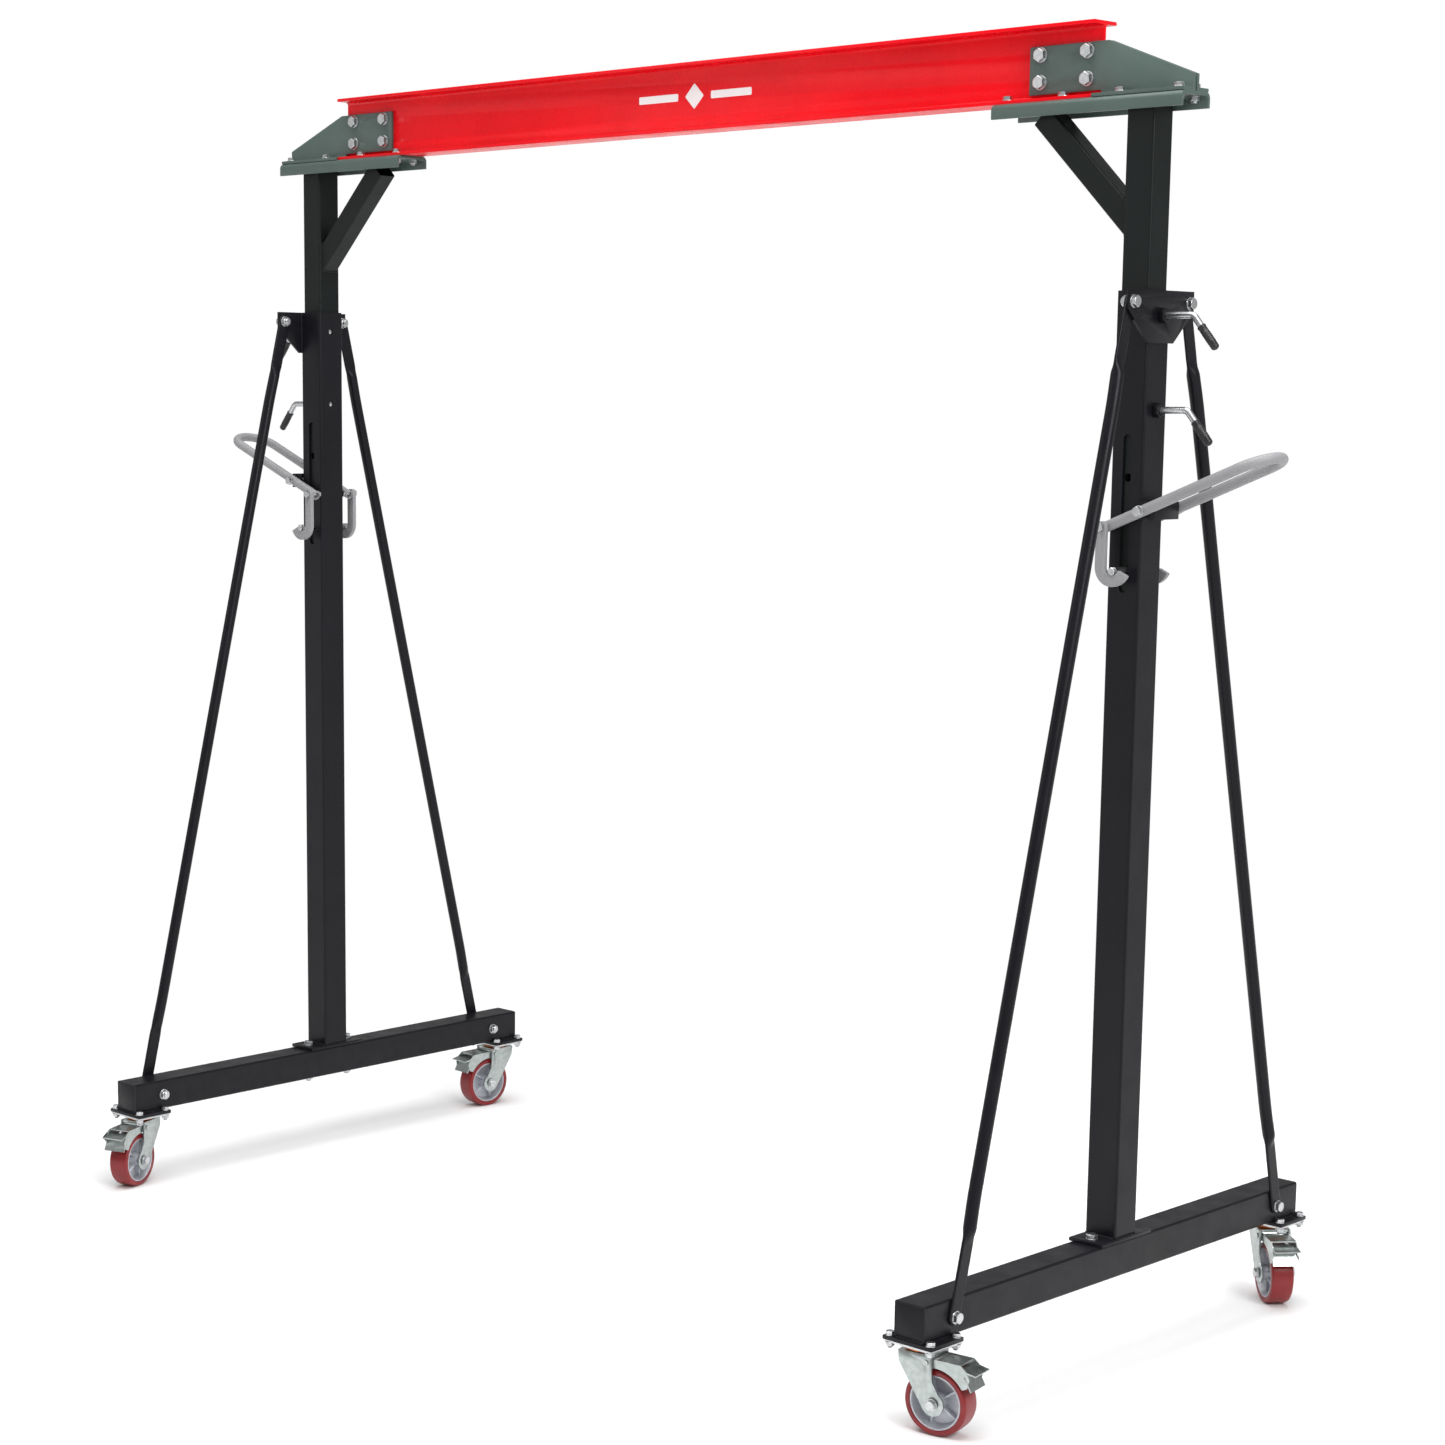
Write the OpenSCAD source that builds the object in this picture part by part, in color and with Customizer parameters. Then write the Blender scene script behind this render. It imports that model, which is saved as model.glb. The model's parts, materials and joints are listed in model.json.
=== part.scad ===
// Portable gantry crane with two telescoping legs.
// X runs along the I-beam, Y along the base beams, Z is up from the floor.
// The origin is on the floor, midway between the two legs.
// Each leg is drawn with its outer side towards +X and mirrored for the left.

/* [Overall] */
// Distance between the centres of the two columns
column_span = 2536; // [2100:1:3200]
// Length of each base beam
base_len = 1326; // [1100:1:1700]
// Length of the outer column
outer_len = 1930; // [1700:1:2400]
// Height of the beam's underside above the outer column's top, lowered
head_rise = 378; // [330:1:500]

/* [Base] */
// Width and height of the base beam tube
base_w = 75; // [60:1:100]
// Wall of the base beam tube
base_wall = 4; // [3:0.5:6]
// Distance from the column centre to each stay's lower bolt
stay_foot_y = 575; // [450:1:600]
// Distance from the column centre to each caster's swivel axis
caster_y = 620; // [500:1:640]

/* [Columns] */
// Width of the outer column tube
outer_w = 75; // [60:1:90]
// Wall of both column tubes
column_wall = 4; // [3:0.5:5]
// Gap between the two column tubes, on each side
column_gap = 1; // [0.5:0.1:2]
// Distance between neighbouring height holes
hole_pitch = 185; // [120:1:200]
// Number of pitches that the beam can be raised by
lift_steps = 6; // [3:1:6]
// Diameter of the locking pins
lock_pin_d = 14; // [10:1:18]
// Diameter of the lift pin that the hooks carry
lift_pin_d = 16; // [12:1:18]
// Length of the slot that the lift pin travels in
slot_len = 315; // [250:1:400]

/* [Head] */
// Height of the I-beam
beam_h = 150; // [120:1:180]
// Flange width of the I-beam
beam_w = 75; // [65:1:90]
// Web thickness of the I-beam
beam_web = 5; // [4:0.5:8]
// Flange thickness of the I-beam
beam_flange = 7; // [5:0.5:10]
// Gap between the I-beam's end and the column's centre
beam_end_gap = 113; // [90:1:140]
// Width of the channel that the beam sits on
channel_w = 98; // [90:1:120]
// Height of the channel
channel_h = 30; // [25:1:40]
// Plate thickness of the channel and the gussets
head_plate = 7; // [5:0.5:9]
// Width of the diagonal brace tube
brace_w = 50; // [40:1:56]

/* [Lever] */
// Diameter of the lever tube
lever_d = 22; // [18:1:24]
// Gap between the column's side and each lever arm
lever_side_gap = 7; // [7:0.5:16]
// Reach of the lever from its pivot to the far end of its bend
lever_reach = 290; // [240:1:360]
// Distance from the column's outer face to the lever's pivot
pivot_out = 14.5; // [14:0.5:22]
// Angle of the resting lever above the horizontal
lever_tilt = 22; // [15:1:30]

/* [Casters] */
// Diameter of the wheels
wheel_d = 135; // [100:1:140]
// Width of the tyre's tread
tyre_w = 50; // [36:1:52]
// Distance from the swivel axis to the axle
caster_trail = 42; // [30:1:50]
// Swivel angle of the right front caster's trail from +X
swing_right_front = 10; // [-180:1:180]
// Swivel angle of the right rear caster's trail from +X
swing_right_rear = -40; // [-180:1:180]
// Swivel angle of the left front caster's trail from +X
swing_left_front = -70; // [-180:1:180]
// Swivel angle of the left rear caster's trail from +X
swing_left_rear = -95; // [-180:1:180]

/* [Hidden] */
$fn = 48;
RIGHT = 1;
LEFT = -1;
FRONT = -1;
REAR = 1;

steel_black = [0.14, 0.14, 0.16];
steel_green = [0.29, 0.35, 0.33];
zinc = [0.78, 0.79, 0.80];

// Fits
pin_play = 1;          // a loose pin in its hole, on the diameter
running_play = 0.1;    // a turning pin in its hole, on the diameter
bolt_play = 0.1;       // a tight bolt in its hole, on the diameter
side_play = 1;         // between moving faces that pass each other
rest_gap = 0.3;        // between a pin and the hook that carries it
seat_gap = 0.05;       // between a fastener's head and what it clamps

// Fastener sizes: shank diameter, width across flats, head height
m16 = [16, 24, 10];
m14 = [14, 21, 9];
m12 = [12, 18, 7.5];
m10 = [10, 16, 6.5];
washer_t = 2;
washer_ratio = 1.25;   // a washer's diameter over the head's flats
thread_end = 4;        // shank that stands out past a nut
jam_nut_t = 5;

// Heights, from the floor up
caster_plate_t = 5;
wheel_clear = 45;       // from the wheel's top to the caster plate's top
pad_t = 8;
caster_h = wheel_d + wheel_clear;
pad_z = caster_h;
base_z = pad_z + pad_t;
base_top = base_z + base_w;
foot_t = 8;
foot_top = base_top + foot_t;
outer_top = foot_top + outer_len;
beam_z = outer_top + head_rise;
channel_z = beam_z - channel_h;
leg_x = column_span / 2;

// Columns
inner_w = outer_w - 2 * column_wall - 2 * column_gap;
tube_corner = 5;
lock_below_top = 49;
lift_below_lock = 318;
slot_below_lift = 44;
lock_high = outer_top - lock_below_top;
lock_low = lock_high - hole_pitch;
last_lock = lock_high - (lift_steps + 1) * hole_pitch;
inner_end_margin = 62;
inner_z = last_lock - inner_end_margin;
inner_top = beam_z - head_plate;
lift_z = lock_low - lift_below_lock;
slot_z = lift_z - slot_below_lift;
slot_play = 4;
slot_w = lift_pin_d + slot_play;

// Ear plate and stays
ear_t = 6;
ear_edge = 15;         // from a stay's upper bolt to the plate's edge
ear_side_h = 40;
ear_h = 103;
ear_foot_half = outer_w / 2 + 6.5;
stay_top_out = 59.5;     // from the column's side to a stay's upper bolt
stay_below_top = 24;
stay_top_y = outer_w / 2 + stay_top_out;
stay_top_z = outer_top - stay_below_top;
ear_half = stay_top_y + ear_edge;
stay_foot_z = base_z + base_w / 2;
stay_d = 27;
stay_wall = 2;
stay_flat_w = 34;
stay_flat_t = 6;
stay_axis_x = (base_w / 2 + outer_w / 2) / 2 + seat_gap;
stay_rise = stay_top_z - stay_foot_z;
stay_run = stay_foot_y - stay_top_y;
stay_len = norm([stay_rise, stay_run]);
stay_angle = atan2(stay_run, stay_rise);
stay_top_flat = 110;
stay_foot_flat = 140;
stay_end = 17;
stay_blend = 34;

// Head
beam_len = column_span - 2 * beam_end_gap;
beam_root = 8;
channel_in = 353;
channel_out = 104;
channel_bend = 12;
head_bolt_first = 328;
head_bolt_step = 137;
head_bolt_y = 27;
gusset_in = 288;
gusset_top_out = 97;
gusset_h = 111;
gusset_out_h = 33;
web_bolt_x = [260, 146];
web_bolt_z = [40, 94];
brace_drop = 245;
brace_wall = 3;
brace_stock = 600;

// Lever, hooks and lift pin
pivot_above_lift = 120.5;
pivot_x = outer_w / 2 + pivot_out;
pivot_z = lift_z + pivot_above_lift;
pivot_d = 12;
lever_gauge = outer_w + lever_d + 2 * lever_side_gap;
arm_y = lever_gauge / 2;
bracket_edge = 20;     // from the lever's pivot to the bracket's outer face
bracket_out = pivot_out + bracket_edge;
bracket_h = 35;
bracket_t = 6;
bracket_half = arm_y - lever_d / 2 - side_play;
hook_t = 10;
hook_bar = 23;
hook_throat = 17;
hook_lean = 2.02;      // from the throat's centre to the column's axis
hook_x = -hook_lean - hook_throat - hook_bar / 2;
hook_arm = (pivot_x - hook_x) / cos(lever_tilt);
hook_z = pivot_z - hook_arm * sin(lever_tilt);
hook_y = arm_y + lever_d / 2 + rest_gap;
hook_bolt_d = 10;
hook_tip_angle = 25;   // from the throat's level down to the hook's tip
throat_z = lift_z + hook_throat - lift_pin_d / 2 - rest_gap;
lever_wall = 2.5;
lift_pin_half = hook_y + hook_t + 4;

// Locking pins
boss_t = 12;
pin_short = 3;         // from the pin's tip to the column's far face
pin_straight = 55;
pin_bend_r = 15;
pin_bend_angle = 50;
bend_thinning = 0.3;
pin_leg = 22;
grip_d = 18;
grip_len = 58;

// Foot plate and casters
foot_edge_x = 4.5;       // from the column's side to the foot plate's edge
foot_edge_y = 22;      // from a foot bolt to the foot plate's edge
foot_bolt_out = 28.5;    // from the column's side to a foot bolt
foot_half_x = outer_w / 2 + foot_edge_x;
foot_bolt_y = outer_w / 2 + foot_bolt_out;
foot_half_y = foot_bolt_y + foot_edge_y;
caster_bolt_gap = 2; // from the base beam's side to a bolt's washer
caster_bolt_x = base_w / 2 + caster_bolt_gap + m10[1] * washer_ratio / 2;
caster_bolt_y = 40;
pad_edge = 10.5;         // from a caster bolt to the pad's edge
pad_half_x = caster_bolt_x + pad_edge;
pad_half_y = caster_bolt_y + pad_edge;
caster_plate_inset = 2.5;
race_d = 66;
race_t = 5;
cap_t = 4;
wheel_r = wheel_d / 2;
tyre_t = 12;
rim_r = wheel_r - tyre_t;
axle_d = 12;
hub_half = tyre_w / 2 + 5;
fork_gap = hub_half + side_play;
fork_t = 4.5;
fork_z = caster_h - caster_plate_t - 2 * race_t - 0.3;
fork_crown_t = 6;
fork_foot_r = 24;
fork_half_top = 35;
pedal_t = 2.5;
pedal_half = hub_half - side_play;
pedal_pivot = [26, fork_z - 16];
pedal_top = fork_z - 8;
pedal_tail = caster_trail + wheel_r;
pedal_clear = 3.5;     // from the tyre's tread to the pedal's cheeks
rivet_d = 6;
rim_t = 6;
rim_web_t = 7;
rim_rib_t = 5;
rim_ribs = 5;
rim_inset = 1;         // from the tyre's side to the rim's side
hub_r = 17;
tyre_round = 5;

swings = [[RIGHT, FRONT, swing_right_front], [RIGHT, REAR, swing_right_rear],
          [LEFT, FRONT, swing_left_front], [LEFT, REAR, swing_left_rear]];

// ---------------------------------------------------------------- helpers

// A child drawn for the right leg about the column's axis, put on one side.
module on_leg(side) {
    mirror([side == LEFT ? 1 : 0, 0, 0]) translate([leg_x, 0, 0]) children();
}

// Children repeated at the front and the rear.
module front_and_rear() {
    for (s = [FRONT, REAR]) mirror([0, s == REAR ? 0 : 1, 0]) children();
}

// A child drawn about a caster's swivel axis with its trail along +X.
module at_caster(which) {
    translate([which[0] * leg_x, which[1] * caster_y, 0])
        rotate([0, 0, which[2]]) children();
}

module rounded_square(w, r) {
    square([w, w - 2 * r], center = true);
    square([w - 2 * r, w], center = true);
    for (x = [-1, 1], y = [-1, 1])
        translate([x * (w / 2 - r), y * (w / 2 - r)]) circle(r);
}

module square_tube(w, wall, len) {
    linear_extrude(len) difference() {
        rounded_square(w, tube_corner);
        rounded_square(w - 2 * wall, tube_corner - wall + 0.5);
    }
}

module box(low, high) {
    translate(low) cube(high - low);
}

// A rod along X from x0 to x1.
module rod_x(d, x0, x1) {
    translate([x0, 0, 0]) rotate([0, 90, 0]) cylinder(d = d, h = x1 - x0);
}

// A rod along Y from y0 to y1.
module rod_y(d, y0, y1) {
    translate([0, y1, 0]) rotate([90, 0, 0]) cylinder(d = d, h = y1 - y0);
}

// A hexagon prism with its base at the origin, growing along +Z.
module hexagon(flats, h) {
    cylinder(d = flats / cos(30), h = h, $fn = 6);
}

// A bolt along Z: its head sits on z = 0, its nut under z = -grip.
module bolt(size, grip) {
    nut_h = size[2];
    stack = grip + nut_h + washer_t + thread_end;
    translate([0, 0, -stack])
        cylinder(d = size[0] - bolt_play, h = stack + washer_t);
    cylinder(d = size[1] * washer_ratio, h = washer_t);
    translate([0, 0, washer_t]) hexagon(size[1], size[2]);
    translate([0, 0, -grip - washer_t])
        cylinder(d = size[1] * washer_ratio, h = washer_t);
    translate([0, 0, -grip - washer_t - nut_h]) hexagon(size[1], nut_h);
}

// ---------------------------------------------------------------- upper frame

module i_section() {
    half_w = beam_w / 2;
    square([beam_web, beam_h], center = true);
    for (s = [-1, 1]) {
        translate([-half_w, s * (beam_h - beam_flange) / 2 - beam_flange / 2])
            square([beam_w, beam_flange]);
        for (t = [-1, 1]) difference() {
            root = beam_web / 2 + beam_root;
            root_z = beam_h / 2 - beam_flange - beam_root;
            translate([t * (root - beam_root / 2), s * (root_z + beam_root / 2)])
                square(beam_root, center = true);
            translate([t * root, s * root_z]) circle(beam_root);
        }
    }
}

module i_beam() {
    color("red") difference() {
        translate([-beam_len / 2, 0, beam_z + beam_h / 2])
            rotate([90, 0, 90]) linear_extrude(beam_len) i_section();
        for (side = [LEFT, RIGHT]) on_leg(side) {
            web_holes();
            flange_holes();
        }
    }
}

module web_holes() {
    for (x = web_bolt_x, z = web_bolt_z)
        translate([-x, 0, beam_z + z])
            rod_y(m16[0], -beam_w, beam_w);
}

module flange_holes() {
    for (i = [0 : 3], s = [FRONT, REAR])
        translate([i * head_bolt_step - head_bolt_first,
                   s * head_bolt_y, channel_z])
            cylinder(d = m12[0], h = channel_h + 3 * head_plate);
}

module gusset(side) {
    web_face = beam_web / 2;
    step_x = -beam_end_gap + side_play;
    clear_flange = beam_flange + beam_root + 1;
    color(steel_green) on_leg(side) difference() {
        front_and_rear() {
            translate([0, web_face + head_plate, beam_z]) rotate([90, 0, 0])
                linear_extrude(head_plate) polygon([
                    [-gusset_in, clear_flange], [-gusset_in, gusset_h],
                    [-gusset_top_out, gusset_h],
                    [channel_out, gusset_out_h], [channel_out, 0],
                    [step_x, 0], [step_x, clear_flange]]);
            box([step_x, web_face, beam_z],
                [channel_out, channel_w / 2 - 6, beam_z + head_plate]);
        }
        web_holes();
        flange_holes();
    }
}

module channel_section() {
    half_w = channel_w / 2;
    difference() {
        union() {
            translate([-half_w, 0]) square([channel_w, channel_h - channel_bend]);
            translate([-half_w + channel_bend, 0])
                square([channel_w - 2 * channel_bend, channel_h]);
            for (s = [-1, 1])
                translate([s * (half_w - channel_bend),
                           channel_h - channel_bend])
                    circle(channel_bend);
        }
        inner = half_w - head_plate;
        bend = channel_bend - head_plate;
        translate([-inner, -1])
            square([2 * inner, channel_h - channel_bend + 1]);
        translate([-inner + bend, -1])
            square([2 * (inner - bend), channel_h - head_plate + 1]);
        for (s = [-1, 1])
            translate([s * (inner - bend), channel_h - channel_bend])
                circle(bend);
    }
}

module top_channel(side) {
    color(steel_green) on_leg(side) difference() {
        translate([-channel_in, 0, channel_z]) rotate([90, 0, 90])
            linear_extrude(channel_in + channel_out) channel_section();
        flange_holes();
    }
}

module head_bolts() {
    color(zinc) for (side = [LEFT, RIGHT]) on_leg(side) {
        for (x = web_bolt_x, z = web_bolt_z)
            translate([-x, -beam_web / 2 - head_plate, beam_z + z])
                rotate([90, 0, 0]) bolt(m16, beam_web + 2 * head_plate);
        for (i = [0 : 3], s = [FRONT, REAR]) {
            top = i < 2 ? beam_flange : head_plate;
            translate([i * head_bolt_step - head_bolt_first,
                       s * head_bolt_y, beam_z + top])
                bolt(m12, top + head_plate);
        }
    }
}

// The brace runs at 45 degrees and is mitred against the column and channel.
module diagonal_brace(side) {
    face_x = -inner_w / 2;
    start_z = channel_z - brace_drop + brace_w / sqrt(2);
    color(steel_black) on_leg(side) intersection() {
        translate([face_x, 0, start_z]) rotate([0, -45, 0])
            translate([0, 0, -brace_stock / 2])
                square_tube(brace_w, brace_wall, brace_stock);
        box([face_x - brace_stock, -brace_w, channel_z - brace_stock],
            [face_x, brace_w, inner_top]);
    }
}

module inner_column(side) {
    color(steel_black) on_leg(side) difference() {
        translate([0, 0, inner_z])
            square_tube(inner_w, column_wall, inner_top - inner_z);
        for (z = [last_lock : hole_pitch : lock_high])
            translate([0, 0, z])
                rod_x(lock_pin_d + pin_play, -outer_w, outer_w);
        for (z = [lift_z + hole_pitch : -hole_pitch : inner_z + 20])
            translate([0, 0, z])
                rod_y(lift_pin_d + pin_play, -outer_w, outer_w);
    }
}

// ---------------------------------------------------------------- lower legs

module outer_column(side) {
    color(steel_black) on_leg(side) difference() {
        translate([0, 0, foot_top])
            square_tube(outer_w, column_wall, outer_len);
        for (z = [lock_low, lock_high])
            translate([0, 0, z])
                rod_x(lock_pin_d + pin_play, -outer_w, outer_w);
        for (z = [slot_z + slot_w / 2, slot_z + slot_len - slot_w / 2])
            translate([0, 0, z]) rod_y(slot_w, -outer_w, outer_w);
        box([-slot_w / 2, -outer_w, slot_z + slot_w / 2],
            [slot_w / 2, outer_w, slot_z + slot_len - slot_w / 2]);
    }
}

module column_foot(side) {
    color(steel_black) on_leg(side) difference() {
        box([-foot_half_x, -foot_half_y, base_top],
            [foot_half_x, foot_half_y, foot_top]);
        foot_bolt_holes();
    }
}

module foot_bolt_holes() {
    for (s = [FRONT, REAR])
        translate([0, s * foot_bolt_y, base_z - 1])
            cylinder(d = m14[0], h = base_w + foot_t + 2);
}

module base_beam(side) {
    color(steel_black) on_leg(side) difference() {
        translate([0, base_len / 2, stay_foot_z]) rotate([90, 0, 0])
            square_tube(base_w, base_wall, base_len);
        foot_bolt_holes();
        for (s = [FRONT, REAR])
            translate([0, s * stay_foot_y, stay_foot_z])
                rod_x(m14[0], -base_w, base_w);
    }
}

module end_caps() {
    inside = base_w - 2 * base_wall - 0.4;
    color(steel_black) for (side = [LEFT, RIGHT]) on_leg(side) front_and_rear()
        translate([0, base_len / 2, stay_foot_z]) rotate([90, 0, 0])
            linear_extrude(cap_t) rounded_square(inside, 1.4);
}

module ear_plate(side) {
    face = outer_w / 2;
    slant_z = outer_top - ear_side_h;
    color(steel_black) on_leg(side) difference() {
        translate([face, 0, 0]) rotate([90, 0, 90]) linear_extrude(ear_t)
            polygon([
                [-ear_half, outer_top], [-ear_half, slant_z],
                [-ear_foot_half, outer_top - ear_h],
                [ear_foot_half, outer_top - ear_h],
                [ear_half, slant_z], [ear_half, outer_top]]);
        translate([0, 0, lock_high])
            rod_x(lock_pin_d + pin_play, face - 1, face + ear_t + 1);
        for (s = [FRONT, REAR])
            translate([0, s * stay_top_y, stay_top_z])
                rod_x(m14[0], face - 1, face + ear_t + 1);
    }
}

// One flattened end: the flat runs from its bolt towards the tube.
module stay_flat(flat_len, offset_x) {
    box([offset_x - stay_flat_t / 2, -stay_flat_w / 2, -stay_end],
        [offset_x + stay_flat_t / 2, stay_flat_w / 2, flat_len]);
    hull() {
        box([offset_x - stay_flat_t / 2, -stay_flat_w / 2, flat_len - 1],
            [offset_x + stay_flat_t / 2, stay_flat_w / 2, flat_len]);
        translate([0, 0, flat_len + stay_blend])
            cylinder(d = stay_d, h = 1, $fn = 32);
    }
}

module stay(side, end) {
    foot_x = base_w / 2 + stay_flat_t / 2 - stay_axis_x;
    top_x = outer_w / 2 - stay_flat_t / 2 - stay_axis_x;
    tube_z0 = stay_foot_flat + stay_blend;
    tube_z1 = stay_len - stay_top_flat - stay_blend;
    color(steel_black) on_leg(side)
        translate([stay_axis_x, end * stay_foot_y, stay_foot_z])
            rotate([end * stay_angle, 0, 0]) difference() {
                union() {
                    translate([0, 0, tube_z0])
                        cylinder(d = stay_d, h = tube_z1 - tube_z0);
                    stay_flat(stay_foot_flat, foot_x);
                    translate([0, 0, stay_len]) mirror([0, 0, 1])
                        stay_flat(stay_top_flat, top_x);
                }
                translate([0, 0, tube_z0 + 2])
                    cylinder(d = stay_d - 2 * stay_wall,
                             h = tube_z1 - tube_z0 - 4);
                for (z = [0, stay_len])
                    translate([0, 0, z]) rod_x(m14[0], -base_w, base_w);
            }
}

module lever_bracket(side) {
    face = outer_w / 2;
    low = pivot_z - bracket_h / 2;
    high = pivot_z + bracket_h / 2;
    color(steel_black) on_leg(side) difference() {
        box([face, -bracket_half, low],
            [face + bracket_out, bracket_half, high]);
        box([face - 1, -bracket_half + bracket_t, low - 1],
            [face + bracket_out - bracket_t, bracket_half - bracket_t,
             high + 1]);
        translate([pivot_x, 0, pivot_z])
            rod_y(pivot_d, -outer_w, outer_w);
    }
}

module lever_pivots() {
    end_y = arm_y + lever_d / 2 + side_play;
    color(zinc) for (side = [LEFT, RIGHT]) on_leg(side)
        translate([pivot_x, -end_y, pivot_z]) rotate([90, 0, 0]) {
            translate([0, 0, -2 * end_y - m12[2] - thread_end])
                cylinder(d = pivot_d - running_play,
                         h = 2 * end_y + m12[2] + thread_end + washer_t);
            cylinder(d = m12[1] * washer_ratio, h = washer_t);
            translate([0, 0, washer_t]) hexagon(m12[1], m12[2]);
            translate([0, 0, -2 * end_y - m12[2]]) hexagon(m12[1], m12[2]);
        }
}

module pin_bosses() {
    color(steel_black) for (side = [LEFT, RIGHT]) on_leg(side)
        for (z = [lock_low, lock_high]) {
            seat = outer_w / 2 + (z == lock_high ? ear_t : 0);
            translate([seat, 0, z]) rotate([0, 90, 0]) difference() {
                hexagon(m16[1] + 2, boss_t);
                translate([0, 0, -1])
                    cylinder(d = lock_pin_d + pin_play, h = boss_t + 2);
            }
        }
}

module foot_bolts() {
    color(zinc) for (side = [LEFT, RIGHT]) on_leg(side) front_and_rear()
        translate([0, foot_bolt_y, foot_top]) bolt(m14, base_w + foot_t);
}

module stay_bolts() {
    ear_face = outer_w / 2 + ear_t;
    flat_face = base_w / 2 + stay_flat_t;
    color(zinc) for (side = [LEFT, RIGHT]) on_leg(side) front_and_rear() {
        translate([ear_face, stay_top_y, stay_top_z]) rotate([0, 90, 0])
            bolt(m14, ear_t + stay_flat_t);
        translate([flat_face, stay_foot_y, stay_foot_z]) rotate([0, 90, 0])
            bolt(m14, base_w + stay_flat_t);
    }
}

// ---------------------------------------------------------------- pins

// A bent pin: it lies along X through both tubes and hangs its grip outside.
module lock_pin(side, z) {
    seat = outer_w / 2 + (z == lock_high ? ear_t : 0) + boss_t;
    bend_x = seat + pin_straight;
    bend_d = lock_pin_d - bend_thinning;
    color(zinc) on_leg(side) translate([0, 0, z]) {
        rod_x(lock_pin_d, -outer_w / 2 + pin_short, bend_x);
        translate([bend_x, 0, -pin_bend_r]) rotate([90, 0, 0]) {
            rotate([0, 0, 90 - pin_bend_angle])
                rotate_extrude(angle = pin_bend_angle)
                    translate([pin_bend_r, 0]) circle(d = bend_d);
        }
        translate([bend_x, 0, -pin_bend_r]) rotate([0, pin_bend_angle, 0])
            translate([0, 0, pin_bend_r]) {
                rod_x(lock_pin_d, 0, pin_leg);
                rod_x(grip_d, pin_leg, pin_leg + grip_len);
            }
    }
}

module lift_pin(side) {
    chamfer = 1.5;
    color(zinc) on_leg(side) translate([0, lift_pin_half, lift_z])
        rotate([90, 0, 0]) {
            translate([0, 0, chamfer])
                cylinder(d = lift_pin_d, h = 2 * lift_pin_half - 2 * chamfer);
            cylinder(d1 = lift_pin_d - 2 * chamfer, d2 = lift_pin_d,
                     h = chamfer);
            translate([0, 0, 2 * lift_pin_half - chamfer])
                cylinder(d2 = lift_pin_d - 2 * chamfer, d1 = lift_pin_d,
                         h = chamfer);
        }
}

// ---------------------------------------------------------------- lever

// The lever's centre line as a tube of diameter d, its pivot at the origin.
module lever_path(d, overrun) {
    straight = lever_reach - arm_y;
    for (s = [-1, 1])
        translate([0, s * arm_y, 0])
            rod_x(d, -hook_arm - lever_d / 2 - overrun, straight);
    translate([straight, 0, 0]) rotate([0, 0, -90])
        rotate_extrude(angle = 180) translate([arm_y, 0]) circle(d = d);
}

module lever(side) {
    color([0.66, 0.66, 0.67]) on_leg(side)
        translate([pivot_x, 0, pivot_z]) rotate([0, -lever_tilt, 0])
            difference() {
                lever_path(lever_d, 0);
                lever_path(lever_d - 2 * lever_wall, 1);
                rod_y(pivot_d, -outer_w * 2, outer_w * 2);
                translate([-hook_arm, 0, 0])
                    rod_y(hook_bolt_d, -outer_w * 2, outer_w * 2);
            }
}

// The side view of one hook: a straight shank that curls round at its foot.
module hook_outline() {
    shank_x = hook_throat + hook_bar / 2;
    reach = hook_throat + hook_bar;
    difference() {
        circle(reach);
        circle(hook_throat);
        translate([-reach - 1, 0]) square([2 * reach + 2, reach + 1]);
        polygon([[0, 0], [2 * reach, 0],
                 [2 * reach, -2 * reach * tan(hook_tip_angle)]]);
    }
    translate([-reach, 0]) square([hook_bar, hook_z - throat_z]);
    translate([-shank_x, hook_z - throat_z]) circle(hook_bar / 2);
}

module lift_hooks(side) {
    throat_x = hook_x + hook_throat + hook_bar / 2;
    color([0.66, 0.66, 0.67]) on_leg(side) front_and_rear() {
        difference() {
            translate([throat_x, hook_y + hook_t, throat_z])
                rotate([90, 0, 0]) linear_extrude(hook_t) hook_outline();
            translate([hook_x, 0, hook_z]) rod_y(hook_bolt_d, 0, 2 * hook_y);
        }
        translate([hook_x, hook_y + hook_t, hook_z]) rotate([-90, 0, 0]) {
            shank = lever_d + hook_t + jam_nut_t + side_play;
            translate([0, 0, -shank])
                cylinder(d = hook_bolt_d - running_play, h = shank + 1);
            translate([0, 0, seat_gap]) hexagon(m10[1], m10[2]);
            translate([0, 0, -shank]) hexagon(m10[1], jam_nut_t);
        }
    }
}

// ---------------------------------------------------------------- casters

module caster_bolt_holes(z0, z1) {
    for (x = [-1, 1], y = [-1, 1])
        translate([x * caster_bolt_x, y * caster_bolt_y, z0])
            cylinder(d = m10[0], h = z1 - z0);
}

module caster_pads() {
    color(steel_black) for (side = [LEFT, RIGHT]) on_leg(side) front_and_rear()
        translate([0, caster_y, 0]) difference() {
            box([-pad_half_x, -pad_half_y, pad_z],
                [pad_half_x, pad_half_y, base_z]);
            caster_bolt_holes(pad_z - 1, base_z + 1);
        }
}

module caster_plates() {
    x = pad_half_x - caster_plate_inset;
    y = pad_half_y - caster_plate_inset;
    color(zinc) for (side = [LEFT, RIGHT]) on_leg(side) front_and_rear()
        translate([0, caster_y, 0]) difference() {
            box([-x, -y, pad_z - caster_plate_t], [x, y, pad_z]);
            caster_bolt_holes(pad_z - caster_plate_t - 1, pad_z + 1);
            translate([0, 0, pad_z - caster_plate_t - 1])
                cylinder(d = axle_d + 2, h = caster_plate_t);
        }
}

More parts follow.
